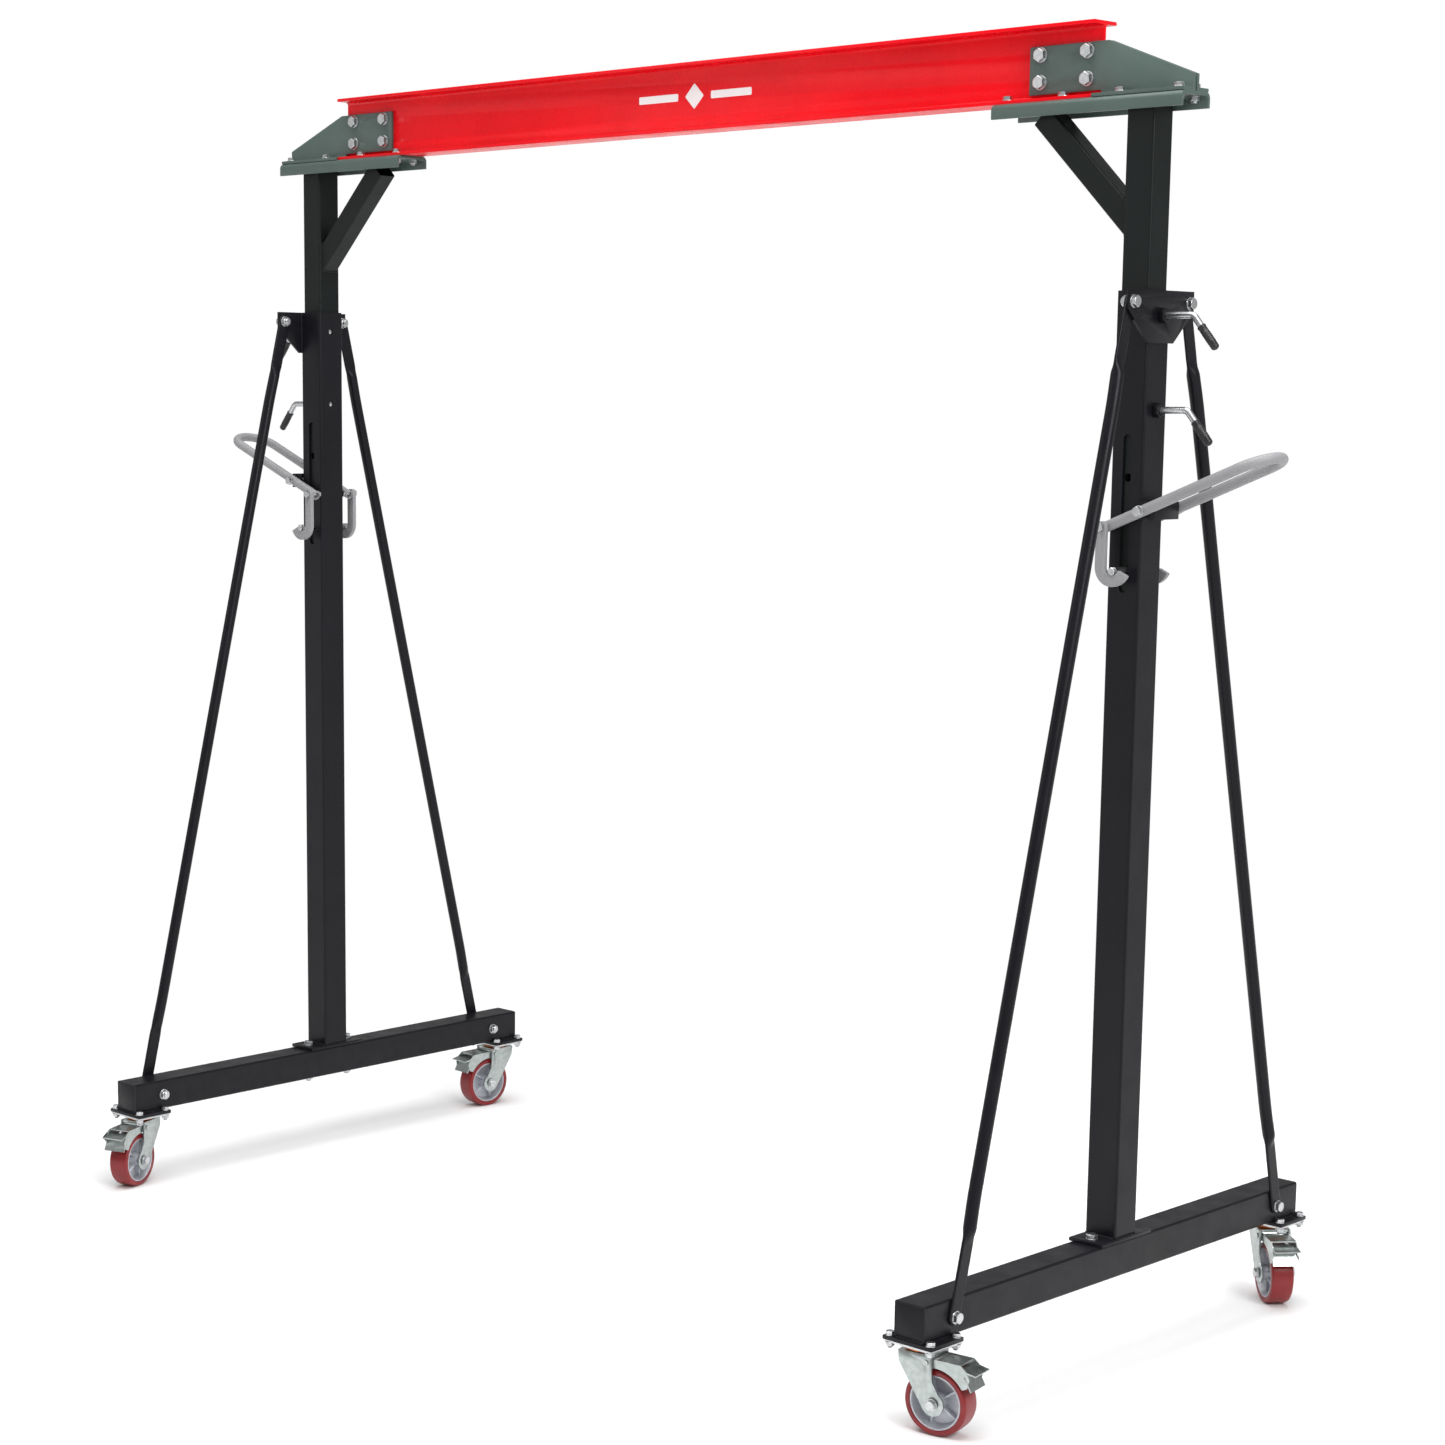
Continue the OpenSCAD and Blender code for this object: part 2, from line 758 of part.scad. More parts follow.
// The race under each plate, which the fork's crown turns against.
module caster_races() {
    top = pad_z - caster_plate_t;
    color([0.80, 0.45, 0.25]) for (side = [LEFT, RIGHT])
        on_leg(side) front_and_rear() translate([0, caster_y, 0])
            difference() {
                union() {
                    translate([0, 0, top - race_t])
                        cylinder(d = race_d + 8, h = race_t);
                    translate([0, 0, top - 2 * race_t])
                        cylinder(d = race_d, h = race_t);
                }
                translate([0, 0, top - 2 * race_t - 1])
                    cylinder(d = axle_d + 2, h = 2 * race_t + 2);
            }
}

module caster_bolts() {
    color(zinc) for (side = [LEFT, RIGHT]) on_leg(side) front_and_rear()
        translate([0, caster_y, 0]) for (x = [-1, 1], y = [-1, 1])
            translate([x * caster_bolt_x, y * caster_bolt_y, base_z])
                bolt(m10, pad_t + caster_plate_t);
}

module fork_leg_outline() {
    top = fork_z;
    difference() {
        union() {
            translate([caster_trail, wheel_r]) circle(fork_foot_r);
            polygon([[-fork_half_top, top], [fork_half_top + 3, top],
                     [fork_half_top + 5, wheel_r + 45],
                     [caster_trail + fork_foot_r, wheel_r],
                     [caster_trail, wheel_r - fork_foot_r],
                     [caster_trail - fork_foot_r * 0.88,
                      wheel_r - fork_foot_r * 0.47],
                     [-fork_half_top + 2, top - 22]]);
        }
        translate([caster_trail, wheel_r]) circle(d = axle_d);
        translate(pedal_pivot) circle(d = rivet_d + running_play);
    }
}

module fork(which) {
    crown_y = fork_gap + fork_t;
    kingpin_d = axle_d + 2 - running_play;
    color([0.72, 0.75, 0.74]) at_caster(which) {
        for (s = [-1, 1])
            translate([0, s * (fork_gap + fork_t / 2) + fork_t / 2, 0])
                rotate([90, 0, 0]) linear_extrude(fork_t)
                    fork_leg_outline();
        intersection() {
            box([-fork_half_top, -crown_y, fork_z - fork_crown_t],
                [fork_half_top + 3, crown_y, fork_z]);
            cylinder(r = fork_half_top + 12, h = caster_h);
        }
        translate([0, 0, fork_z - fork_crown_t])
            cylinder(d = kingpin_d, h = caster_h - fork_z + 5);
        translate([caster_trail, 0, wheel_r]) axle();
    }
}

module axle() {
    head_y = fork_gap + fork_t + seat_gap;
    rotate([90, 0, 0]) {
        translate([0, 0, -head_y - 10])
            cylinder(d = axle_d - bolt_play, h = 2 * head_y + 11);
        translate([0, 0, head_y]) hexagon(m12[1], 6);
        translate([0, 0, -head_y - 8]) hexagon(m12[1], 8);
    }
}

module tyre(which) {
    half = tyre_w / 2;
    color([0.62, 0.10, 0.10]) at_caster(which)
        translate([caster_trail, 0, wheel_r]) rotate([90, 0, 0])
            rotate_extrude($fn = 64) {
                translate([rim_r + 0.05, -half])
                    square([tyre_t - tyre_round, tyre_w]);
                translate([wheel_r - tyre_round - 1, -half + tyre_round])
                    square([tyre_round + 1, tyre_w - 2 * tyre_round]);
                for (s = [-1, 1])
                    translate([wheel_r - tyre_round, s * (half - tyre_round)])
                        circle(tyre_round);
            }
}

module rim(which) {
    half = tyre_w / 2 - rim_inset;
    color([0.75, 0.75, 0.77]) at_caster(which)
        translate([caster_trail, 0, wheel_r]) rotate([90, 0, 0])
            difference() {
                union() {
                    rotate_extrude($fn = 64) {
                        translate([rim_r - rim_t, -half])
                            square([rim_t, 2 * half]);
                        translate([hub_r - 1, -rim_web_t / 2])
                            square([rim_r - rim_t - hub_r + 2, rim_web_t]);
                        translate([0, -hub_half])
                            square([hub_r, 2 * hub_half]);
                    }
                    for (i = [0 : rim_ribs - 1])
                        rotate([0, 0, i * 360 / rim_ribs])
                            box([hub_r - 1, -rim_rib_t / 2, -half + 4],
                                [rim_r - rim_t + 1, rim_rib_t / 2, half - 4]);
                }
                translate([0, 0, -hub_half - 1])
                    cylinder(d = axle_d + running_play - bolt_play,
                             h = 2 * hub_half + 2);
            }
}

// The pressed brake pedal: two cheeks beside the tyre, a bridge and two toes.
module pedal_cheek() {
    top = pedal_top;
    tail = pedal_tail;
    difference() {
        polygon([[14, top], [tail - 12, top - 2], [tail, top - 12],
                 [tail + 8, top - 28], [tail + 3, top - 46],
                 [tail - 6, top - 50], [20, top - 50], [14, top - 20]]);
        translate([caster_trail, wheel_r]) circle(wheel_r + pedal_clear);
        translate([-1, 0]) square([17, fork_z]);
    }
}

module pedal(which) {
    top = pedal_top;
    tail = pedal_tail;
    color([0.72, 0.75, 0.74]) at_caster(which) {
        for (s = [-1, 1])
            translate([0, s * (pedal_half - pedal_t / 2) + pedal_t / 2, 0])
                rotate([90, 0, 0]) linear_extrude(pedal_t) pedal_cheek();
        box([caster_trail + 5, -pedal_half, top - 2 - pedal_t],
            [tail - 12, pedal_half, top - 2]);
        translate([tail - 4, 0, top - 12]) rotate([0, 12, 0])
            box([-10, -pedal_half, -pedal_t], [26, pedal_half, 0]);
        translate([tail + 2, 0, top - 30]) rotate([0, 62, 0])
            box([-8, -pedal_half, -pedal_t], [24, pedal_half, 0]);
        translate([pedal_pivot[0], 0, pedal_pivot[1]]) {
            rod_y(rivet_d, -fork_gap - fork_t - 0.5, fork_gap + fork_t + 0.5);
            rod_y(rivet_d + 5, fork_gap + fork_t + 0.5,
                  fork_gap + fork_t + 2.5);
            rod_y(rivet_d + 5, -fork_gap - fork_t - 2.5,
                  -fork_gap - fork_t - 0.5);
        }
    }
}

// ---------------------------------------------------------------- drawing

i_beam();
gusset(LEFT);  // gusset_left
gusset(RIGHT);  // gusset_right
top_channel(LEFT);  // top_channel_left
top_channel(RIGHT);  // top_channel_right
head_bolts();
diagonal_brace(LEFT);  // diagonal_brace_left
diagonal_brace(RIGHT);  // diagonal_brace_right
inner_column(LEFT);  // inner_column_left
inner_column(RIGHT);  // inner_column_right
outer_column(LEFT);  // outer_column_left
outer_column(RIGHT);  // outer_column_right
column_foot(LEFT);  // column_foot_left
column_foot(RIGHT);  // column_foot_right
base_beam(LEFT);  // base_beam_left
base_beam(RIGHT);  // base_beam_right
end_caps();
ear_plate(LEFT);  // ear_plate_left
ear_plate(RIGHT);  // ear_plate_right
stay(LEFT, FRONT);  // stay_left_front
stay(LEFT, REAR);  // stay_left_rear
stay(RIGHT, FRONT);  // stay_right_front
stay(RIGHT, REAR);  // stay_right_rear
lever_bracket(LEFT);  // lever_bracket_left
lever_bracket(RIGHT);  // lever_bracket_right
lever_pivots();
pin_bosses();
foot_bolts();
stay_bolts();
caster_pads();
caster_plates();
caster_races();
caster_bolts();
lock_pin(LEFT, lock_high);  // lock_pin_left_high
lock_pin(LEFT, lock_low);  // lock_pin_left_low
lock_pin(RIGHT, lock_high);  // lock_pin_right_high
lock_pin(RIGHT, lock_low);  // lock_pin_right_low
lift_pin(LEFT);  // lift_pin_left
lift_pin(RIGHT);  // lift_pin_right
lever(LEFT);  // lever_left
lever(RIGHT);  // lever_right
lift_hooks(LEFT);  // lift_hooks_left
lift_hooks(RIGHT);  // lift_hooks_right
fork(swings[0]);  // fork_right_front
fork(swings[1]);  // fork_right_rear
fork(swings[2]);  // fork_left_front
fork(swings[3]);  // fork_left_rear
tyre(swings[0]);  // tyre_right_front
tyre(swings[1]);  // tyre_right_rear
tyre(swings[2]);  // tyre_left_front
tyre(swings[3]);  // tyre_left_rear
rim(swings[0]);  // rim_right_front
rim(swings[1]);  // rim_right_rear
rim(swings[2]);  // rim_left_front
rim(swings[3]);  // rim_left_rear
pedal(swings[0]);  // pedal_right_front
pedal(swings[1]);  // pedal_right_rear
pedal(swings[2]);  // pedal_left_front
pedal(swings[3]);  // pedal_left_rear
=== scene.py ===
"""Dresses the portable gantry crane: detailed pieces, finishes, light and camera.

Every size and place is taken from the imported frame. A piece is modelled at its
own place in metres, rides on the body that carries it, and stands for the plain
solids that it replaces.
"""

import json
import logging
import math
from dataclasses import dataclass
from enum import Enum
from typing import Iterable, Optional, Sequence

import bpy
import bmesh
from mathutils import Matrix, Vector

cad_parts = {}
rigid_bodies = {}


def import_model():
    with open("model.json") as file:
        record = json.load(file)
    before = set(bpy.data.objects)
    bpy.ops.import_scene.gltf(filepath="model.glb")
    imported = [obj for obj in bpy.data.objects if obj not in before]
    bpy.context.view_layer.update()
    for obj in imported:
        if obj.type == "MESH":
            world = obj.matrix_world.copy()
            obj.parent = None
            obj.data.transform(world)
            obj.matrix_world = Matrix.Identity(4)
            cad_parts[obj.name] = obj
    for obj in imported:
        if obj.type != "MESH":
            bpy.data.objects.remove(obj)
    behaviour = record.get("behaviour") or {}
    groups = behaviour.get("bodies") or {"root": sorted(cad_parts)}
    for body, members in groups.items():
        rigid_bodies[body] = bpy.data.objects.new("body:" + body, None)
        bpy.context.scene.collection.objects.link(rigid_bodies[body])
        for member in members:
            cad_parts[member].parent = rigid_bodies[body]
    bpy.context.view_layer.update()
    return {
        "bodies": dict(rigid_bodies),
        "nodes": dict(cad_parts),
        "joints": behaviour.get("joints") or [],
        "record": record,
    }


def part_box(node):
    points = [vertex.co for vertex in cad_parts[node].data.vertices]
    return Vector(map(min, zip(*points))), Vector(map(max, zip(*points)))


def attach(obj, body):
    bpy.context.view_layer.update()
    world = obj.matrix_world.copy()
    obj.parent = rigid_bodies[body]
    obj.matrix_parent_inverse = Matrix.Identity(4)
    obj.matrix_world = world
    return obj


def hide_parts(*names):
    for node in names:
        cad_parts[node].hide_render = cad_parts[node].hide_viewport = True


LOG = logging.getLogger("gantry_crane")
TINY = 1e-6
CROWN_ANGLE = math.radians(30)  # of the chamfer on a hexagon's corners
CROWN_SHARE = 0.475             # radius of a hexagon's flat top, of its width across flats
THREAD_SHARE = 0.45             # depth of a thread, of its pitch

Point = Sequence[float]
Profile = list[tuple[float, float]]
Piece = bpy.types.Object
Socket = bpy.types.NodeSocket


class Way(Enum):
    """One of two directions along an axis, by its sign."""

    @property
    def word(self) -> str:
        """The direction's name as the nodes spell it."""
        return self.name.lower()


class Side(Way):
    """The crane's two legs, by the sign of their X."""

    LEFT = -1
    RIGHT = 1


class End(Way):
    """The two ends of a base beam, by the sign of their Y."""

    FRONT = -1
    REAR = 1


# ------------------------------------------------------------------ finishes


class Shader:
    """A Principled material whose colour, roughness and bump come from nodes."""

    def __init__(self, name: str) -> None:
        """Starts a plain material.

        Args:
            name: The material's name.
        """
        self.material = bpy.data.materials.new(name)
        self.material.use_nodes = True
        self.tree = self.material.node_tree
        self.surface = self.tree.nodes["Principled BSDF"]
        self.coords = self.tree.nodes.new("ShaderNodeTexCoord").outputs["Object"]

    def node(self, kind: str, **settings: object) -> bpy.types.Node:
        """Adds a node.

        Args:
            kind: The node's type name.
            **settings: Its properties.

        Returns:
            The new node.
        """
        made = self.tree.nodes.new(kind)
        for key, value in settings.items():
            setattr(made, key, value)
        return made

    def feed(self, target: Socket, value: object) -> None:
        """Gives an input its value.

        Args:
            target: The input.
            value: Another node's socket to follow, or a plain value.
        """
        if isinstance(value, Socket):
            self.tree.links.new(value, target)
        else:
            target.default_value = value

    def look(self, **values: object) -> None:
        """Sets inputs of the surface.

        Args:
            **values: A socket or plain value for each input, named with
                underscores for the spaces.
        """
        for key, value in values.items():
            self.feed(self.surface.inputs[key.replace("_", " ")], value)

    def noise(self, scale: float, detail: float, stretch: Point = (1, 1, 1)) -> Socket:
        """Adds a noise pattern on object coordinates.

        Args:
            scale: Features per metre.
            detail: Octaves.
            stretch: Scale along each axis.

        Returns:
            The pattern's factor socket.
        """
        mapping = self.node("ShaderNodeMapping")
        self.feed(mapping.inputs["Scale"], stretch)
        self.feed(mapping.inputs["Vector"], self.coords)
        pattern = self.node("ShaderNodeTexNoise")
        self.feed(pattern.inputs["Scale"], scale)
        self.feed(pattern.inputs["Detail"], detail)
        self.feed(pattern.inputs["Vector"], mapping.outputs["Vector"])
        return pattern.outputs["Fac"]

    def cells(self, scale: float) -> Socket:
        """Adds a crystal-like cell pattern.

        Args:
            scale: Cells per metre.

        Returns:
            The distance socket.
        """
        pattern = self.node("ShaderNodeTexVoronoi")
        self.feed(pattern.inputs["Scale"], scale)
        self.feed(pattern.inputs["Vector"], self.coords)
        return pattern.outputs["Distance"]

    def ranged(self, value: Socket, before: Point, after: Point, **settings: object) -> Socket:
        """Maps one range of a value onto another and holds it at the ends.

        Args:
            value: The value.
            before: Both ends of its range.
            after: What they become.
            **settings: Properties of the node.

        Returns:
            The mapped socket.
        """
        mapper = self.node("ShaderNodeMapRange", **settings)
        for key, level in zip(("From Min", "From Max", "To Min", "To Max"), (*before, *after)):
            self.feed(mapper.inputs[key], level)
        self.feed(mapper.inputs["Value"], value)
        return mapper.outputs["Result"]

    def spread(self, factor: Socket, low: float, high: float) -> Socket:
        """Maps a pattern's middle range, 0.3 to 0.7, onto another range."""
        return self.ranged(factor, (0.3, 0.7), (low, high))

    def blend(self, factor: Socket, first: object, second: object) -> Socket:
        """Mixes two colours by a pattern.

        Args:
            factor: The pattern, 0 for the first colour.
            first: A linear colour, or a socket that gives one.
            second: The same for the other colour.

        Returns:
            The colour socket.
        """
        mix = self.node("ShaderNodeMix", data_type="RGBA")
        for key, colour in (("A_Color", first), ("B_Color", second)):
            target = next(s for s in mix.inputs if s.identifier == key)
            plain_colour = not isinstance(colour, Socket)
            self.feed(target, (*colour, 1.0) if plain_colour else colour)
        self.feed(mix.inputs["Factor"], factor)
        return next(s for s in mix.outputs if s.identifier == "Result_Color")

    def near_floor(self, top: float) -> Socket:
        """Gives 1 at the floor and 0 from a height upwards.

        Args:
            top: That height in metres.

        Returns:
            The factor socket.
        """
        split = self.node("ShaderNodeSeparateXYZ")
        self.feed(split.inputs["Vector"], self.coords)
        return self.ranged(split.outputs["Z"], (0.0, top), (1.0, 0.0))

    def times(self, first: Socket, second: Socket) -> Socket:
        """Multiplies two sockets.

        Args:
            first: One factor.
            second: The other factor.

        Returns:
            The product's socket.
        """
        product = self.node("ShaderNodeMath", operation="MULTIPLY")
        self.feed(product.inputs[0], first)
        self.feed(product.inputs[1], second)
        return product.outputs["Value"]

    def bump(self, height: Socket, depth: float) -> None:
        """Adds a bump layer over those before it.

        Args:
            height: The pattern.
            depth: Height of the pattern in metres.
        """
        layer = self.node("ShaderNodeBump")
        self.feed(layer.inputs["Distance"], depth)
        self.feed(layer.inputs["Height"], height)
        before = self.surface.inputs["Normal"].links
        if before:
            self.feed(layer.inputs["Normal"], before[0].from_socket)
        self.look(Normal=layer.outputs["Normal"])


@dataclass(frozen=True)
class Paint:
    """A sprayed or powder-coated finish.

    Attributes:
        name: Material name.
        colour: Linear colour.
        shade: Linear colour of its darker, thinner places.
        gloss: Lowest and highest roughness.
        peel: Orange-peel features per metre.
        peel_depth: Depth of the orange peel in metres.
        coat: Weight of the clear gloss over it.
        specular: Strength of its own mirror-like light.
        dust: Colour of the dust near the floor, or None.
        dust_top: Height up to which the dust lies.
        dust_most: Share of the surface that it covers at most.
    """

    name: str
    colour: Point
    shade: Point
    gloss: tuple[float, float]
    peel: float = 900.0
    peel_depth: float = 0.00005
    coat: float = 0.0
    specular: float = 0.5
    dust: Optional[Point] = None
    dust_top: float = 0.30
    dust_most: float = 0.35

    def build(self) -> bpy.types.Material:
        """Builds the material and returns it."""
        shader = Shader(self.name)
        drift = shader.spread(shader.noise(4.0, 4.0), 0.0, 1.0)
        colour = shader.blend(drift, self.colour, self.shade)
        if self.dust is not None:
            cover = shader.spread(shader.noise(30.0, 6.0), 0.0, self.dust_most)
            colour = shader.blend(shader.times(shader.near_floor(self.dust_top), cover), colour, self.dust)
        shader.look(
            Base_Color=colour, Roughness=shader.spread(shader.noise(18.0, 5.0), *self.gloss),
            Specular_IOR_Level=self.specular, Coat_Weight=self.coat, Coat_Roughness=0.12)
        shader.bump(shader.noise(60.0, 2.0), self.peel_depth * 4)
        shader.bump(shader.noise(self.peel, 2.0), self.peel_depth)
        return shader.material


@dataclass(frozen=True)
class Plate:
    """Bare or zinc-plated metal.

    Attributes:
        name: Material name.
        colour: Linear colour.
        shade: Linear colour of its duller crystals.
        gloss: Lowest and highest roughness.
        crystal: Crystals per metre.
        grain: Stretch of the fine drawing marks along X, Y and Z.
        metallic: Share of metal, 1 for bare metal.
        pit: Depth of the fine pits in metres.
    """

    name: str
    colour: Point
    shade: Point
    gloss: tuple[float, float]
    crystal: float = 160.0
    grain: Point = (1, 1, 1)
    metallic: float = 1.0
    pit: float = 0.00004

    def build(self) -> bpy.types.Material:
        """Builds the material and returns it."""
        shader = Shader(self.name)
        crystals = shader.spread(shader.cells(self.crystal), 0.0, 1.0)
        shader.look(
            Base_Color=shader.blend(crystals, self.colour, self.shade),
            Roughness=shader.spread(shader.noise(90.0, 6.0, self.grain), *self.gloss),
            Metallic=self.metallic)
        shader.bump(shader.noise(700.0, 3.0, self.grain), self.pit)
        return shader.material


@dataclass(frozen=True)
class Rubber:
    """A moulded rubber or polyurethane.

    Attributes:
        name: Material name.
        colour: Linear colour.
        shade: Linear colour of its bloom.
        gloss: Lowest and highest roughness.
        soft: Weight of light that passes under the surface.
    """

    name: str
    colour: Point
    shade: Point
    gloss: tuple[float, float]
    soft: float = 0.0

    def build(self) -> bpy.types.Material:
        """Builds the material and returns it."""
        shader = Shader(self.name)
        cloud = shader.spread(shader.noise(25.0, 6.0), 0.0, 1.0)
        shader.look(
            Base_Color=shader.blend(cloud, self.colour, self.shade),
            Roughness=shader.spread(shader.noise(40.0, 4.0), *self.gloss),
            Subsurface_Weight=self.soft, Subsurface_Radius=(0.004, 0.001, 0.001))
        shader.bump(shader.noise(400.0, 5.0), 0.00003)
        return shader.material


class Finish(Enum):
    """Every finish on the crane, with the record's slot as its name."""

    BEAM_RED = Paint(
        "red_enamel", (0.82, 0.003, 0.010), (0.70, 0.002, 0.008), (0.22, 0.34), 500.0, 0.00003,
        coat=0.05, specular=0.16)
    HEAD_GREEN = Paint(
        "grey_green_powder_coat", (0.082, 0.118, 0.104), (0.062, 0.092, 0.082), (0.34, 0.50), specular=0.4)
    UPPER_BLACK = Paint(
        "green_black_powder_coat", (0.008, 0.010, 0.010), (0.005, 0.007, 0.007), (0.30, 0.46),
        specular=0.18)
    FRAME_BLACK = Paint(
        "black_powder_coat", (0.007, 0.007, 0.010), (0.005, 0.005, 0.007), (0.28, 0.42), specular=0.20,
        dust=(0.05, 0.05, 0.05))
    ZINC = Plate(
        "bright_zinc", (0.60, 0.61, 0.62), (0.52, 0.53, 0.54), (0.26, 0.34), 120.0, pit=0.000002)
    FORK_ZINC = Plate(
        "pressed_zinc", (0.46, 0.50, 0.49), (0.40, 0.44, 0.43), (0.26, 0.40), 90.0, pit=0.00002)
    RACE_COPPER = Plate(
        "copper_race", (0.80, 0.26, 0.07), (0.58, 0.17, 0.05), (0.30, 0.50), 300.0, metallic=0.6)
    LEVER_GREY = Paint(
        "silver_grey_paint", (0.29, 0.29, 0.30), (0.24, 0.24, 0.25), (0.38, 0.55), 1200.0, 0.00001)
    RIM_GREY = Plate(
        "cast_silver", (0.55, 0.56, 0.60), (0.46, 0.47, 0.51), (0.36, 0.58), 420.0,
        metallic=0.55, pit=0.0001)
    TYRE_RED = Rubber("red_polyurethane", (0.25, 0.007, 0.009), (0.19, 0.005, 0.007), (0.28, 0.42), 0.05)
    GRIP_RUBBER = Rubber("black_rubber", (0.008, 0.008, 0.009), (0.013, 0.013, 0.014), (0.30, 0.45))
    MARK_WHITE = Paint("white_marking", (0.86, 0.86, 0.86), (0.80, 0.80, 0.80), (0.35, 0.50))

    @property
    def slot(self) -> str:
        """The record's slot that the finish belongs to."""
        shared = {"UPPER_BLACK": "frame_black", "GRIP_RUBBER": "frame_black", "MARK_WHITE": "beam_red"}
        return shared.get(self.name, self.name.lower())


class Palette:
    """Builds each finish once and hands it out."""

    def __init__(self) -> None:
        """Starts with no material built."""
        self.made: dict[Finish, bpy.types.Material] = {}

    def paint(self, piece: Piece, finish: Finish) -> None:
        """Puts a finish on the whole of a piece.

        Args:
            piece: A mesh object.
            finish: The finish.
        """
        if finish not in self.made:
            self.made[finish] = finish.value.build()
        slots = piece.data.materials
        if not slots:
            slots.append(self.made[finish])
        for index in range(len(slots)):
            slots[index] = self.made[finish]


# ------------------------------------------------------------------ modelling


def deselect() -> None:
    """Leaves nothing selected, in object mode."""
    active = bpy.context.view_layer.objects.active
    if active is not None and active.mode != "OBJECT":
        bpy.ops.object.mode_set(mode="OBJECT")
    bpy.ops.object.select_all(action="DESELECT")


def activate(piece: Piece) -> None:
    """Selects one piece alone and makes it active.

    Args:
        piece: The piece.
    """
    deselect()
    piece.select_set(True)
    bpy.context.view_layer.objects.active = piece


def edit(piece: Piece) -> None:
    """Opens a piece in edit mode with all of it selected.

    Args:
        piece: The piece.
    """
    activate(piece)
    bpy.ops.object.mode_set(mode="EDIT")
    bpy.ops.mesh.select_all(action="SELECT")


def done() -> None:
    """Goes back to object mode."""
    bpy.ops.object.mode_set(mode="OBJECT")


def modify(piece: Piece, kind: str, **settings: object) -> None:
    """Adds a modifier to a piece and applies it.

    Args:
        piece: The piece.
        kind: The modifier's type.
        **settings: Its properties.
    """
    activate(piece)
    modifier = piece.modifiers.new(kind.lower(), kind)
    for key, value in settings.items():
        setattr(modifier, key, value)
    bpy.ops.object.modifier_apply(modifier=modifier.name)


def soften(piece: Piece, angle: float = 35.0) -> None:
    """Shades a piece smooth except across sharp edges."""
    activate(piece)
    bpy.ops.object.shade_smooth_by_angle(angle=math.radians(angle))


def bevelled(piece: Piece, width: float, segments: int) -> None:
    """Rounds a piece's edges that are sharper than 40 degrees."""
    modify(piece, "BEVEL", width=width, segments=segments, limit_method="ANGLE",
           angle_limit=math.radians(40), miter_outer="MITER_ARC")


def copy_of(piece: Piece, place: Matrix) -> Piece:
    """Copies a piece with its own mesh.

    Args:
        piece: The master.
        place: Where the copy's mesh goes.

    Returns:
        The copy, its object at the origin.
    """
    made = piece.copy()
    made.data = piece.data.copy()
    bpy.context.scene.collection.objects.link(made)
    made.data.transform(place)
    if place.determinant() < 0:
        made.data.flip_normals()
    return made


def discard(*pieces: Piece) -> None:
    """Removes helper pieces."""
    for piece in pieces:
        bpy.data.objects.remove(piece)


def join(pieces: Sequence[Piece], name: str) -> Piece:
    """Joins pieces into one.

    Args:
        pieces: At least one mesh object.
        name: Name of the result.

    Returns:
        The joined piece.
    """
    deselect()
    for piece in pieces:
        piece.select_set(True)
    bpy.context.view_layer.objects.active = pieces[0]
    if len(pieces) > 1:
        bpy.ops.object.join()
    pieces[0].name = name
    return pieces[0]


def spun(name: str, profile: Profile, steps: int = 48) -> Piece:
    """Spins a closed outline about Z.

    Args:
        name: Name of the piece.
        profile: The outline's corners as (radius, height), in order.
        steps: Faces round the turn.

    Returns:
        The closed piece.
    """
    deselect()
    bpy.ops.mesh.primitive_circle_add(vertices=len(profile), radius=1.0)
    piece = bpy.context.object
    piece.name = name
    for vertex, (radius, height) in zip(piece.data.vertices, profile):
        vertex.co = (radius, 0.0, height)
    edit(piece)
    bpy.ops.mesh.spin(steps=steps, angle=math.tau, center=(0, 0, 0), axis=(0, 0, 1))
    bpy.ops.mesh.select_all(action="SELECT")
    bpy.ops.mesh.remove_doubles(threshold=TINY)
    bpy.ops.mesh.dissolve_degenerate(threshold=TINY)
    bpy.ops.mesh.select_all(action="SELECT")
    bpy.ops.mesh.normals_make_consistent(inside=False)
    done()
    return piece


def along(axis: Vector, at: Vector) -> Matrix:
    """The turn and move that lay a piece's own Z along an axis, with its origin at a place."""
    turn = axis.normalized().to_track_quat("Z", "Y").to_matrix().to_4x4()
    return Matrix.Translation(at) @ turn


def block(size: Point) -> Piece:
    """Models a plain box about the origin.

    Args:
        size: Its width along X, Y and Z.

    Returns:
        The box.
    """
    deselect()
    bpy.ops.mesh.primitive_cube_add(size=1.0)
    piece = bpy.context.object
    piece.data.transform(Matrix.Diagonal((*size, 1.0)))
    return piece


def bent_rod(name: str, radius: float, start: Vector, moves: Sequence[tuple],
             sides: int) -> Piece:
    """Sweeps a round rod along straight runs and bends.

    Args:
        name: Name of the piece.
        radius: The rod's radius.
        start: Centre of its first end.
        moves: ("run", vector) or ("bend", angle, centre, axis, steps), in
            order. The first is a run.
        sides: Faces round the rod.

    Returns:
        The closed piece.
    """
    deselect()
    bpy.ops.mesh.primitive_circle_add(vertices=sides, radius=radius, fill_type="NGON")
    piece = bpy.context.object
    piece.name = name
    piece.data.transform(along(moves[0][1], start))
    edit(piece)
    for move in moves:
        if move[0] == "bend":
            _, angle, centre, axis, steps = move
            # The operator turns clockwise about its axis, so the axis is reversed.
            bpy.ops.mesh.spin(steps=steps, angle=angle, center=centre, axis=-Vector(axis))
        else:
            bpy.ops.mesh.extrude_region_move(TRANSFORM_OT_translate={"value": move[1]})
    bpy.ops.mesh.select_all(action="SELECT")
    bpy.ops.mesh.remove_doubles(threshold=TINY)
    bpy.ops.mesh.normals_make_consistent(inside=False)
    done()
    return piece


